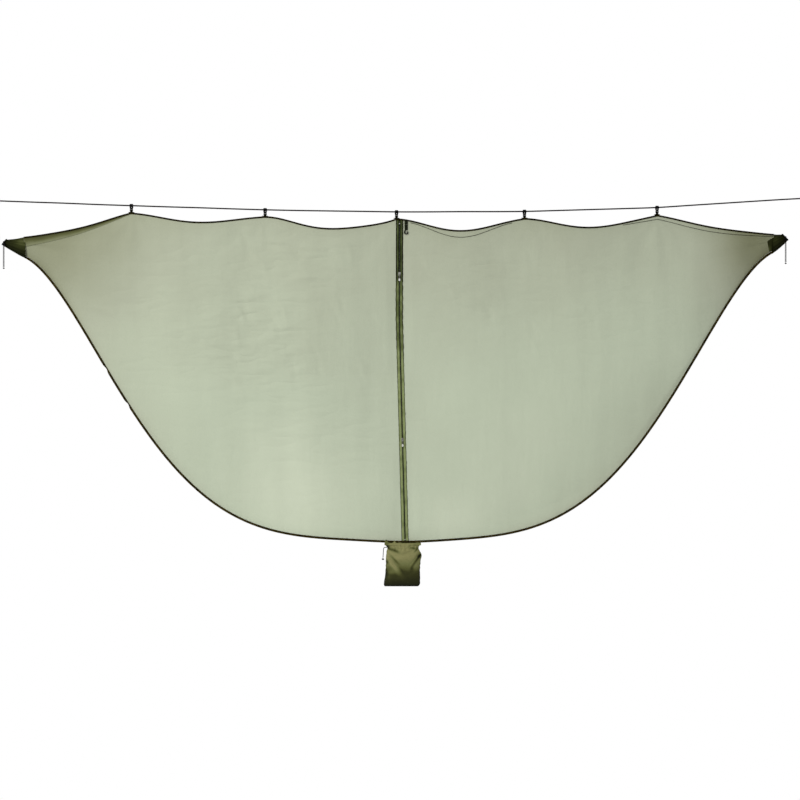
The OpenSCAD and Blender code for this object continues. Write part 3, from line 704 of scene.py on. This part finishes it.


# Broad patches of painted light and shade on the net: X, Z, half size and amount
NET_PAINTED_LIGHT_AND_SHADE = [
    (-0.50, -1.15, 0.50, 0.30), (-1.00, -0.65, 0.40, 0.06), (0.55, -0.95, 0.50, 0.22),
    (1.00, -0.55, 0.35, 0.12), (-1.50, -0.16, 0.28, -0.34), (-1.15, -0.12, 0.22, -0.12),
    (1.55, -0.15, 0.18, -0.46), (0.15, -0.15, 0.25, -0.06), (0.70, -0.10, 0.35, -0.06),
    (0.05, -0.60, 0.25, 0.05), (-0.42, -1.34, 0.26, 0.17), (0.25, -1.39, 0.18, 0.24),
    (0.50, -1.20, 0.22, 0.10), (1.28, -0.64, 0.16, 0.18),
]
# Where it still shows the sharp creases of its packing: X, Z, half width, half height and amount
NET_CRUMPLES = [
    (-0.42, -0.21, 0.20, 0.14, 0.9), (-0.60, -0.55, 0.24, 0.26, 0.8), (-0.95, -0.35, 0.30, 0.30, 0.4),
    (0.35, -0.30, 0.22, 0.20, 0.5), (-0.30, -0.95, 0.35, 0.25, 0.3), (0.95, -0.35, 0.35, 0.25, 0.35),
]


def net_tone(x, z, below, above):
    """How light the net is, all painted light and shade: broad patches, and painted shade near its hems,
    whose distances are below and above.
    """
    patches = strokes(x, z, [(*at, size, size, 0, amount) for *at, size, amount in NET_PAINTED_LIGHT_AND_SHADE])
    return 0.48 + patches - 0.14 * np.exp(-below / 0.022) - 0.10 * np.exp(-above / 0.05)


PANEL_ROWS = 110
PANEL_STEP = 0.009


def columns(low, high, step):
    """X of the columns from low to high, with one at each hook between them."""
    even = np.linspace(low, high, max(2, int((high - low) / step)))
    kept = [h for h in HOOK_X if low + 1e-4 < h < high - 1e-4]
    return np.unique(np.concatenate([even, kept]))


def panel(name, side, low, high, node):
    """One panel of netting on a wall of the net, between two X."""
    x, v = np.meshgrid(columns(low, high, PANEL_STEP), np.linspace(0, 1, PANEL_ROWS))
    px, py, pz = wall(side, x, v)
    out = folds(side, px, pz, v)
    faces = grid_faces(*x.shape)
    faces = faces if side < 0 else flipped(faces)
    piece = add(name, xyz(px, py + side * out, pz), faces, MESH, node)
    tall = pz[:1] - pz[-1:]
    set_tone(piece, net_tone(px, pz, (1 - v) * tall, v * tall))
    crumpled = strokes(px, pz, [(*place, 0, amount) for *place, amount in NET_CRUMPLES])
    set_tone(piece, np.clip(0.12 + crumpled, 0, 1), "crumple")


panel("net_cloth_front_left", -1, -PANEL_LEFT, ZIP_TOP[0] - ZIP_REACH, "net_front_left")
panel("net_cloth_front_right", -1, ZIP_TOP[0] + ZIP_REACH, PANEL_RIGHT, "net_front_right")
panel("net_cloth_back", 1, -PANEL_LEFT, PANEL_RIGHT, "net_back")


# ---- Bindings, roof strip and seams ----


def top_bindings():
    """Tape folded over each top edge, a rounded section that runs down both faces of the cloth."""
    x = columns(-PANEL_LEFT, PANEL_RIGHT, 0.004)
    half = 0.0012
    section = [(-1, 0), (-1.06, 0.35), (-1, 0.75), (-0.75, 0.95), (0, 1.04), (0.75, 0.95), (1, 0.75),
               (1.06, 0.35), (1, 0), (0.5, 0.02), (0, 0.05), (-0.5, 0.02)]
    ripple = 0.0004 * np.sin(x * 260 + 1.1 * np.sin(x * 97))
    for name, side in FACES.items():
        y, z = side * half_depth(x), top_z(x)
        lines = [xyz(x, y + s * half + ripple * h, z - TOP_HEM * (1 - h)) for s, h in section]
        add(f"top_tape_{name}", np.stack(lines, 1), tube_faces(len(x), len(section)), BINDING,
            f"top_binding_{name}")
        line = xyz(x, y + side * 0.00135, z - 0.0052)
        stitches(f"top_stitches_{name}", line, (0, side, 0), HEM_STITCH)


def bottom_binding():
    """Tape folded over the bottom edge, a little ruffled, and pinched inwards at two places."""
    x = columns(-PANEL_LEFT, PANEL_RIGHT, 0.004)
    in_x, in_z = inward(x)
    half = 0.0030
    ruffle = 0.0007 * np.sin(x * 210 + 2 * np.sin(x * 31)) + 0.0005 * np.sin(x * 470 + 1)
    pinch = sum(0.45 * bell((x - at) / 0.007) for at in (-1.262, -1.168))
    section = [(-1, 0.98), (-1.1, 0.55), (-0.95, 0.18), (-0.5, 0.02), (0, -0.02), (0.5, 0.02),
               (0.95, 0.18), (1.1, 0.55), (1, 0.98), (0, 0.9)]

    def line(s, h):
        up = LOW_HEM * (h + (1 - h) * pinch)
        return xyz(x + up * in_x, s * half + ruffle, low_z(x) + up * in_z)

    points = np.stack([line(s, h) for s, h in section], 1)
    faces = flipped(tube_faces(len(x), len(section)))
    add("bottom_tape", points, faces, LOW_BINDING, "bottom_binding")
    for name, side in FACES.items():
        stitches(f"bottom_stitches_{name}", line(side * 1.06, 0.72), (0, side, 0), HEM_STITCH)


def roof():
    """The strip of cloth between the two top edges, which hangs a little."""
    x = columns(-PANEL_LEFT, PANEL_RIGHT, 0.008)
    s = np.linspace(-1, 1, 9)
    grid_x, grid_s = np.meshgrid(x, s)
    y = grid_s * (half_depth(grid_x) - 0.0015)
    z = top_z(grid_x)
    hang = (1 - grid_s**2) * (0.0012 + 0.0016 * np.sin(np.pi * span(grid_x)[1]) ** 2)
    wrinkle = (1 - grid_s**2) * 0.0006 * np.sin(grid_x * 60 + 3 * grid_s)
    points = xyz(grid_x, y, z - 0.0006 - hang + wrinkle)
    piece = add("roof_cloth", points, grid_faces(*grid_x.shape), BAND, "roof_strip")
    set_tone(piece, 0.42 + 0 * grid_x)
    thicken(piece, 0.0004)


def facing():
    """The solid strip sewn along the front's top edge, widest at the left sleeve."""
    end = -1.16
    x = columns(-PANEL_LEFT + 0.001, end, 0.006)
    t = (x + PANEL_LEFT) / (PANEL_LEFT + end)
    wide = 0.034 * (1 - t) ** 0.8 * smooth((1 - t) / 0.08) + 0.002
    grid_x, grid_r = np.meshgrid(x, np.linspace(0, 1, 8))
    tall = top_z(x) - TOP_HEM - SEAM_GAP - low_z(x) - LOW_HEM
    v = np.clip(grid_r * wide / tall, 0, 0.62)
    px, py, pz = wall(-1, grid_x, v)
    lift = 0.0012 + folds(-1, px, pz, v)
    piece = add("facing_left", xyz(px, py - lift, pz), grid_faces(*grid_x.shape), BAND)
    set_tone(piece, 0.17 + 0.56 * grid_r**0.9)
    thicken(piece, 0.0003)


def hem_seam(name, low, high, deepest, power=2):
    """A thin dark seam below the top edge, where the back hem shows through the front."""
    x = np.linspace(low, high, int((high - low) / 0.006))
    t = (x - low) / (high - low)
    below = 0.004 + deepest * np.sin(np.pi * np.clip(t, 0, 1)) ** power
    tall = top_z(x) - TOP_HEM - low_z(x) - LOW_HEM
    v = below / tall
    px, py, pz = wall(-1, x, v)
    lift = 0.0007 + folds(-1, px, pz, v)
    points, faces = tube_mesh(xyz(px, py - lift, pz), np.array([0.0004, 0.0012] * 4), 8, (0, 1, 0))
    add(name, points, faces, BINDING)


top_bindings()
bottom_binding()
roof()
facing()
hem_seam("seam_front_mid", 0.06, 0.50, 0.020)
hem_seam("seam_front_right", 0.98, 1.632, 0.012, 1)


# ---- Hook tabs ----


def webbing_tab(i):
    """Webbing from one side of the roof, through the hook's slot and back, sewn down and bar-tacked."""
    roof_z = EDGE_Z[i + 1] + 0.0006
    bar = HOOK_Z[i] + BAR_Z
    loop_r = 0.0053
    front = [(-0.017, roof_z + 0.0002), (-0.012, roof_z + 0.0006), (-0.007, roof_z + 0.0014),
             (-0.0035, (roof_z + bar - loop_r) / 2 + 0.0005)]
    turns = np.linspace(0.35 - math.pi / 2, 1.5 * math.pi - 0.35, 26)
    loop = [(-loop_r * math.cos(a), bar + loop_r * math.sin(a)) for a in turns]
    route = front + loop + [(-y, z) for y, z in front[::-1]]
    last = len(route) - 1
    widths = np.interp(range(len(route)), [0, 2, 3, 4, last - 4, last - 3, last - 2, last],
                       [0.026, 0.024, 0.016, 0.0106, 0.0106, 0.016, 0.024, 0.026])
    across = np.linspace(-1, 1, 9)
    rows = [xyz(HOOK_X[i] + across * wide / 2, y, z) for (y, z), wide in zip(route, widths)]
    faces = grid_faces(len(rows), len(across))
    piece = add(f"webbing_tab_{i + 1}", np.stack(rows), faces, WEBBING, f"hook_tab_{i + 1}")
    thicken(piece, 0.0010)
    for end, side in FACES.items():
        for k, y in enumerate((0.0085, 0.0145)):
            line = xyz(HOOK_X[i] + np.array([-0.011, 0.011]), side * y, roof_z + 0.0017)
            stitches(f"tab_tack_{i + 1}_{end}_{k}", line, (0, 0, 1), TAB_TACK)


for hook in range(len(HOOK_X)):
    webbing_tab(hook)


# ---- Sleeves at the ends ----


def sleeve(name, way):
    """The cloth cone from the seam to the mouth: its rings lean back until they lie in the mouth's plane."""
    seam_x = way * ((PANEL_LEFT if way < 0 else PANEL_RIGHT) + 0.0003)
    back = RING_WIRE + 0.0003
    end_x = MOUTH[name][0] - way * back * math.cos(TILT[name])
    end_z = MOUTH[name][1] - back * math.sin(TILT[name])
    top = EDGE_Z[0] if way < 0 else EDGE_Z[-1]
    low = float(low_z(np.array(seam_x)))
    t, a = np.meshgrid(np.linspace(-0.09, 1, 46), around(160), indexing="ij")
    half_y = 0.0212 + (RING_R - 0.0212) * t
    half_z = (top - low) / 2 + (MOUTH_HALF[name] - (top - low) / 2) * t
    middle_x = seam_x + (end_x - seam_x) * t
    middle_z = (top + low) / 2 + (end_z - (top + low) / 2) * t
    pleats = np.cos(13 * a + 1.5 * np.sin(2 * a)) + 0.5 * np.cos(21 * a + 2)
    depth = 0.0014 * smooth(t / 0.5) * (1 - 0.45 * t) + 0.0003 * t
    puff = 0.002 * np.sin(np.pi * np.clip(t, 0, 1)) ** 2 * np.cos(2 * a + 0.4)
    grow = -0.0006 + depth * pleats + puff + 0.0012 * smooth(t / 0.9)
    up = (half_z + grow) * np.sin(a)
    lean = TILT[name] * np.maximum(t, 0)
    x = middle_x - way * up * np.sin(lean)
    points = xyz(x, (half_y + grow) * np.cos(a), middle_z + up * np.cos(lean))
    faces = grid_faces(*t.shape, wrap=True)
    faces = faces if way > 0 else flipped(faces)
    piece = add(f"sleeve_cloth_{name}", points, faces, SLEEVE, f"end_sleeve_{name}")
    # Painted highlight on the sleeve's upper side near its seam, stronger on the left, and painted shade in
    # the hollows of its pleats.
    high = 0.46 if way < 0 else 0.24
    painted_highlight = high * bell((t - 0.12) / 0.5)
    painted_highlight = painted_highlight * smooth((np.sin(a) + 0.75) / 1.3) * smooth((1.35 - np.sin(a)) / 0.8)
    set_tone(piece, 0.10 + painted_highlight + 0.05 * pleats * (1 - t))
    thicken(piece, 0.0004)


def channel(name, way):
    """The ruffled channel round the mouth, which holds the drawcord."""
    a, b = np.meshgrid(around(180), around(14), indexing="ij")
    wire = RING_WIRE + 0.00045 * np.cos(22 * a + 1.2 * np.sin(3 * a)) + 0.0002 * np.cos(41 * a)
    r = RING_R + wire * np.cos(b)
    out, up = wire * np.sin(b), (MOUTH_HALF[name] + wire * np.cos(b)) * np.sin(a)
    sine, cosine = math.sin(TILT[name]), math.cos(TILT[name])
    x = MOUTH[name][0] + way * (out * cosine - up * sine)
    z = MOUTH[name][1] + out * sine + up * cosine
    piece = add(f"channel_cloth_{name}", xyz(x, r * np.cos(a), z), ring_faces(*a.shape), SLEEVE,
                f"sleeve_channel_{name}")
    set_tone(piece, 0 * a)


def corner_patch():
    """The dark patch over the mesh's corner beside the right sleeve, its inner edge slanted."""
    t, v = np.meshgrid(np.linspace(0, 1, 14), np.linspace(0.02, 0.98, 24))
    x = PANEL_RIGHT - 0.0005 - t * (0.034 - 0.022 * v) * smooth((v - 0.10) / 0.25)
    px, py, pz = wall(-1, x, v)
    piece = add("corner_patch", xyz(px, py - 0.0016, pz), grid_faces(*x.shape), SLEEVE)
    set_tone(piece, 0.22 + 0.45 * bell((v - 0.8) / 0.22) * t)
    thicken(piece, 0.0004)


for side_name, side_way in SIDES.items():
    sleeve(side_name, side_way)
    channel(side_name, side_way)
corner_patch()


# ---- Zip ----


def zip_tone(way, a, z):
    """Dye of the zip tape across its width: a is 0 at the coil and 1 at the outer edge."""
    above = smooth((z + 0.305) / 0.02)
    middle, wide, high = (0.42, 0.26, 0.52) if way < 0 else (0.40, 0.30, 0.48)
    strip = high * np.exp(-(((a - middle) / wide) ** 4))
    plain = (0.68 + 0.20 * smooth((-0.50 - z) / 0.2)) * smooth((1.0 - a) / 0.15) * smooth((a + 0.1) / 0.2)
    uneven = 0.06 * np.sin(z * 47 + way) + 0.04 * np.sin(z * 131)
    return 0.12 + above * strip + (1 - above) * plain + uneven


def zip_tapes():
    """The two tapes, each with its dark outer edge and two rows of stitches."""
    z = np.linspace(ZIP_TOP[2] + 0.010, ZIP_LOW[2] - 0.003, 340)
    across = np.linspace(-0.2, 1, 18)
    for name, way in SIDES.items():
        bow = 0.0005 * np.sin(z * 37 + way) + 0.0003 * np.sin(z * 83 + 2) + 0.0005 * np.sin(z * 240 + way)
        a, grid_z = np.meshgrid(across, z, indexing="ij")
        x = zip_x(grid_z) + way * (TAPE_GAP + a * TAPE_W)
        points = xyz(x, zip_y(grid_z) + smooth(a / 0.9) * bow, grid_z)
        faces = grid_faces(*a.shape)
        piece = add(f"zip_cloth_{name}", points, faces, ZIP_TAPE, f"zip_tape_{name}")
        set_tone(piece, zip_tone(way, a, grid_z))
        thicken(piece, 0.0008)
        scallop = 0.0009 * np.sin(z * 150 + way) * smooth((-0.30 - z) / 0.02)
        edge = xyz(zip_x(z) + way * (TAPE_GAP + 0.93 * TAPE_W) + scallop, zip_y(z) - 0.0007 + bow, z)
        slim = 1 - 0.65 * smooth((-0.50 - z) / 0.25)
        points, faces = tube_mesh(edge, slim[:, None] * np.array([0.0006, 0.0017] * 4), 8, (0, 1, 0))
        add(f"zip_edge_{name}", points, faces, BINDING)
        for k, share in enumerate((0.30, 0.80)):
            line = xyz(zip_x(z) + way * (TAPE_GAP + share * TAPE_W), zip_y(z) - 0.00055 + share * bow, z)
            stitches(f"zip_stitches_{name}_{k}", line, (0, -1, 0), ZIP_STITCH)


def zip_coils():
    """The wound coil of each side, held down by a cord before and behind it."""
    pitch, steps = 0.0015, 8
    top, low = ZIP_TOP[2] - 0.006, ZIP_LOW[2] + 0.006
    turns = int((top - low) / pitch)
    t = np.arange(turns * steps + 1)
    z = top - t * pitch / steps
    a = TAU * t / steps
    for name, way in SIDES.items():
        phase = 0 if way < 0 else math.pi
        x = zip_x(z) + way * (0.00145 - 0.0009 * np.cos(a + phase))
        y = zip_y(z) + 0.00062 * np.sin(a + phase)
        points, faces = tube_mesh(xyz(x, y, z), 0.00034, 5, (0.3, 0.2, 1))
        add(f"zip_turns_{name}", points, faces, COIL, f"zip_coil_{name}")
        for face, side in FACES.items():
            line_z = np.linspace(top, low, 400)
            line = xyz(zip_x(line_z) + way * 0.0020, zip_y(line_z) + side * 0.00075, line_z)
            points, faces = tube_mesh(line, 0.0003, 6, (0, 1, 0))
            add(f"zip_cordonnet_{name}_{face}", points, faces, COIL)


zip_tapes()
zip_coils()


# ---- Tie-back strap ----


def strap():
    """The tie-back's webbing, and the piece of it that is sewn to the front's top tape."""
    for name, node, body, drawn in (("strap_webbing", "door_strap", "door_tie", 0.12),
                                    ("strap_anchor_webbing", "door_strap_anchor", "net", 0.0)):
        low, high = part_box(node)
        z, across = np.meshgrid(np.linspace(low.z, high.z, 24), np.linspace(-1, 1, 9), indexing="ij")
        half = (high.x - low.x) / 2 * (1 - drawn * smooth((high.z - z) / (high.z - low.z)))
        points = xyz((low.x + high.x) / 2 + half * across, low.y + 0.0006 + 0.0004 * across**2, z)
        piece = add(name, points, grid_faces(*z.shape), STRAP, node, body)
        thicken(piece, 0.0011)
    for k, share in enumerate((0.3, 0.75)):
        at = low.z + share * (high.z - low.z)
        line = xyz(np.array([low.x + 0.001, high.x - 0.001]), low.y - 0.0001, at)
        stitches(f"strap_tack_{k}", line, (0, -1, 0), STRAP_TACK)


strap()


# ---- Stuff sack ----

# Folds of the sack: X and Z of the middle, length, width, turn and height
SACK_FOLDS = [
    (-0.022, -1.528, 0.040, 0.0070, -0.95, 0.0052), (-0.004, -1.520, 0.036, 0.0060, -0.95, -0.0034),
    (0.020, -1.500, 0.040, 0.0090, 0.20, 0.0024), (0.084, -1.500, 0.026, 0.0060, 0.95, -0.0050),
    (0.070, -1.528, 0.030, 0.0060, 1.05, 0.0036), (0.050, -1.478, 0.030, 0.0060, 0.30, -0.0030),
    (0.020, -1.590, 0.050, 0.0080, 0.15, 0.0016), (-0.030, -1.500, 0.018, 0.0050, -0.40, -0.0030),
    (0.060, -1.565, 0.030, 0.0070, 0.50, -0.0016), (0.004, -1.470, 0.014, 0.0050, -0.80, -0.0032),
    (0.034, -1.462, 0.014, 0.0040, 0.90, 0.0022), (0.082, -1.466, 0.014, 0.0040, 0.60, 0.0026),
]
# Painted light and shade on the sack's folds and pinches: X and Z of the middle, half length, half width,
# turn and amount
SACK_PAINTED_LIGHT_AND_SHADE = [
    (-0.002, -1.549, 0.034, 0.0110, -0.93, 0.34), (-0.022, -1.561, 0.018, 0.010, 0, 0.24),
    (-0.006, -1.510, 0.028, 0.0045, -0.80, -0.30), (0.018, -1.548, 0.020, 0.0050, -0.93, -0.14),
    (-0.009, -1.468, 0.018, 0.0055, -0.42, -0.50), (-0.030, -1.462, 0.012, 0.004, -0.60, -0.35),
    (0.072, -1.458, 0.014, 0.0050, -0.20, -0.36), (0.088, -1.462, 0.014, 0.0040, 0.90, -0.36),
    (0.092, -1.502, 0.026, 0.0060, 0.95, -0.55), (0.099, -1.491, 0.010, 0.0070, 0.95, -0.60),
    (0.071, -1.530, 0.014, 0.0050, 0.95, -0.22), (0.067, -1.545, 0.008, 0.008, 0, -0.18),
    (0.082, -1.540, 0.014, 0.014, 0, 0.12), (-0.041, -1.518, 0.006, 0.009, 0, -0.45),
    (-0.044, -1.566, 0.006, 0.020, 0, -0.25), (-0.034, -1.584, 0.012, 0.010, 0, 0.14),
    (-0.040, -1.450, 0.010, 0.007, -0.70, -0.75),
]
# The sack's plain tone from top to bottom: depth below the rope, and the tone there
SACK_FADE = np.array([
    (1.500, 0.93), (1.530, 0.76), (1.545, 0.60), (1.558, 0.42), (1.575, 0.35), (1.597, 0.27), (1.612, 0.20),
    (1.622, 0.06),
])


def sack_rings(z, sides):
    """Round the sack at each height: its middle in X and Y, half width, half depth, angle and height."""
    line = resampled(SACK_STATIONS, 0.0005)
    down = np.argsort(line[:, 0])
    section = [np.interp(z, line[down, 0], line[down, k])[:, None] for k in range(1, 5)]
    return *section, *np.meshgrid(around(sides), z)


def sack_tone(x, z, relief, rim):
    """The cloth's tone: pale above, near black below, with painted light and shade on its folds and painted
    shade in the pinches and at its sides.
    """
    value = np.interp(-z, SACK_FADE[:, 0], SACK_FADE[:, 1])
    # Painted light on raised folds and painted shade in their hollows, from the folds' height.
    value = value + strokes(x, z, SACK_PAINTED_LIGHT_AND_SHADE) + 8 * relief
    # Painted shade at the sack's sides, deepest at the lower right.
    value = value - rim * (0.20 + 0.35 * smooth((x - 0.05) / 0.02) * smooth((-1.50 - z) / 0.03))
    return np.clip(value, 0, 1)


def sack():
    """The bag itself, closed below, with soft corners and folds."""
    rows, sides = 130, 220
    z = np.linspace(SACK_STATIONS[0, 0], SACK_STATIONS[-1, 0], rows)
    middle_x, middle_y, half_x, half_y, a, grid_z = sack_rings(z, sides)
    down = (z[0] - grid_z) / (z[0] - z[-1])
    inner = np.sin(np.pi * down)
    square = (np.abs(np.cos(a)) ** 4 + np.abs(np.sin(a)) ** 4) ** -0.05
    x = middle_x + half_x * np.cos(a) * square
    relief = strokes(x, grid_z, SACK_FOLDS)
    gather = 0.0013 * np.cos(26 * a + 2 * np.sin(3 * a)) * bell((grid_z + 1.456) / 0.012)
    crumple = 0.0007 * np.sin(a * 9 + grid_z * 140) * np.sin(grid_z * 210 + 4 * a) * inner
    edge = smooth(np.abs(np.sin(a)) / 0.35)
    depth = half_y * np.sin(a) + np.sign(np.sin(a)) * edge * (relief + gather + crumple)
    bumps = 0.0007 * np.sin(grid_z * 210 + 2 * np.sin(grid_z * 90)) * np.abs(np.cos(a)) ** 6 * inner
    faces = flipped(grid_faces(rows, sides, wrap=True))
    faces.append([(rows - 1) * sides + k for k in range(sides)])
    points = xyz(x + bumps, middle_y + depth, grid_z)
    piece = add("sack_cloth", points, faces, SACK, "sack_body", "sack")
    set_tone(piece, sack_tone(x, grid_z, relief, np.abs(np.cos(a)) ** 40))


def sack_gathers():
    """The gathered neck over the drawcord's channel."""
    z = np.linspace(-1.4530, -1.4610, 14)
    middle_x, middle_y, half_x, half_y, a, grid_z = sack_rings(z, 260)
    hump = np.sin(np.pi * np.linspace(0, 1, len(z)))[:, None]
    pleats = np.cos(15 * a + 2.2 * np.sin(2 * a)) + 0.6 * np.cos(23 * a + 1.0)
    grow = -0.0004 + hump * (0.0008 + 0.0003 * pleats)
    x = middle_x + (half_x + grow) * np.cos(a)
    points = xyz(x, middle_y + (half_y + grow) * np.sin(a), grid_z)
    faces = flipped(grid_faces(*a.shape, wrap=True))
    piece = add("sack_neck", points, faces, SACK, "sack_channel", "sack")
    # Painted shade in the hollows of the pleats.
    set_tone(piece, sack_tone(x, grid_z, 0 * x, 0 * x) - 0.03 + 0.03 * pleats)


def sack_top():
    """The gathered edge sewn to the hem, which stands a little over it at the left."""
    x, t = np.meshgrid(np.linspace(-0.052, 0.106, 180), np.linspace(0, 1, 12))
    over = sum(high * bell((x - at) / wide) for at, wide, high in (
        (-0.044, 0.008, 0.0130), (-0.009, 0.006, 0.0085), (0.014, 0.008, 0.002), (0.092, 0.010, 0.002)))
    low = -1.4455
    z = low + (-1.4355 + over - low) * t
    ripple = 0.0012 * np.sin(x * 230 + 1.8 * np.sin(x * 90)) * (0.4 + 0.6 * t)
    y = -0.0185 + 0.0125 * t**2 + ripple
    piece = add("sack_edge", xyz(x, y, z), grid_faces(*x.shape), SACK, "sack_flap", "sack")
    thicken(piece, 0.0006)
    # Painted shade in the ripples' hollows, at the fold on the left, towards the right end and along the top
    # edge.
    shade = -40 * ripple - 0.30 * bell((x + 0.044) / 0.010) - 0.12 * smooth((x - 0.05) / 0.02)
    set_tone(piece, np.clip(0.90 + shade - 0.25 * smooth((t - 0.8) / 0.2), 0, 1))


sack()
sack_gathers()
sack_top()


# ---- CAD parts that keep their shape ----


def finish_node(name, material, bevel):
    """Gives a CAD node its material, and soft edges to catch the light."""
    node = NODES[name]
    node.data.materials.clear()
    node.data.materials.append(material)
    if bevel:
        edge = node.modifiers.new("edge", "BEVEL")
        edge.width = bevel
        edge.segments = 2
        edge.limit_method = "ANGLE"
        edge.angle_limit = math.radians(40)


for hook in range(len(HOOK_X)):
    finish_node(f"ridge_hook_{hook + 1}", BLACK, 0.0004)
finish_node("door_hook", BLACK, 0.0005)
for end in SIDES:
    finish_node(f"lock_barrel_{end}", BLACK, 0.0005)
    finish_node(f"lock_plunger_{end}", BLACK, 0.0004)
    finish_node(f"lock_spring_{end}", SPRING, 0)
for which in ("upper", "lower"):
    finish_node(f"zip_slider_{which}", NICKEL, 0.0003)
    finish_node(f"zip_pull_{which}", NICKEL_GLINT, 0.0002)
for which in ("top", "bottom"):
    finish_node(f"zip_{which}_stop", NICKEL_GLINT, 0.0003)


# ---- Floor and light ----


def studio():
    """A round pale floor, a white world, a key light at the front and a weak one behind."""
    floor_z, floor_r, sides = -2.9, 2.8, 96
    rim = xyz(floor_r * np.cos(around(sides)), floor_r * np.sin(around(sides)), floor_z)
    pale = Shader("studio_floor", 0.9, 0.1)
    pale.colour(pale.noise(0.6, 2), (0.3, (0.86, 0.86, 0.86)), (0.7, (0.90, 0.90, 0.90)))
    floor = add("studio_floor", rim, [list(range(sides))], pale.material, body=None)
    world = bpy.data.worlds.new("studio")
    world.use_nodes = True
    world.node_tree.nodes["Background"].inputs["Color"].default_value = (1, 1, 1, 1)
    world.node_tree.nodes["Background"].inputs["Strength"].default_value = 1.0
    bpy.context.scene.world = world
    for name, place, power, size in (
        ("key", (-4.2, -5.0, 2.4), 450, 1.5), ("rim", (3.5, 3.5, 2.0), 60, 2.5),
    ):
        data = bpy.data.lights.new(name, "AREA")
        data.energy = power
        data.size = size
        light = bpy.data.objects.new(name, data)
        light.location = place
        aim = Vector((0, 0, -0.7)) - Vector(place)
        light.rotation_mode = "QUATERNION"
        light.rotation_quaternion = aim.to_track_quat("-Z", "Y")
        bpy.context.scene.collection.objects.link(light)
    bpy.context.scene.view_settings.view_transform = "Standard"


studio()
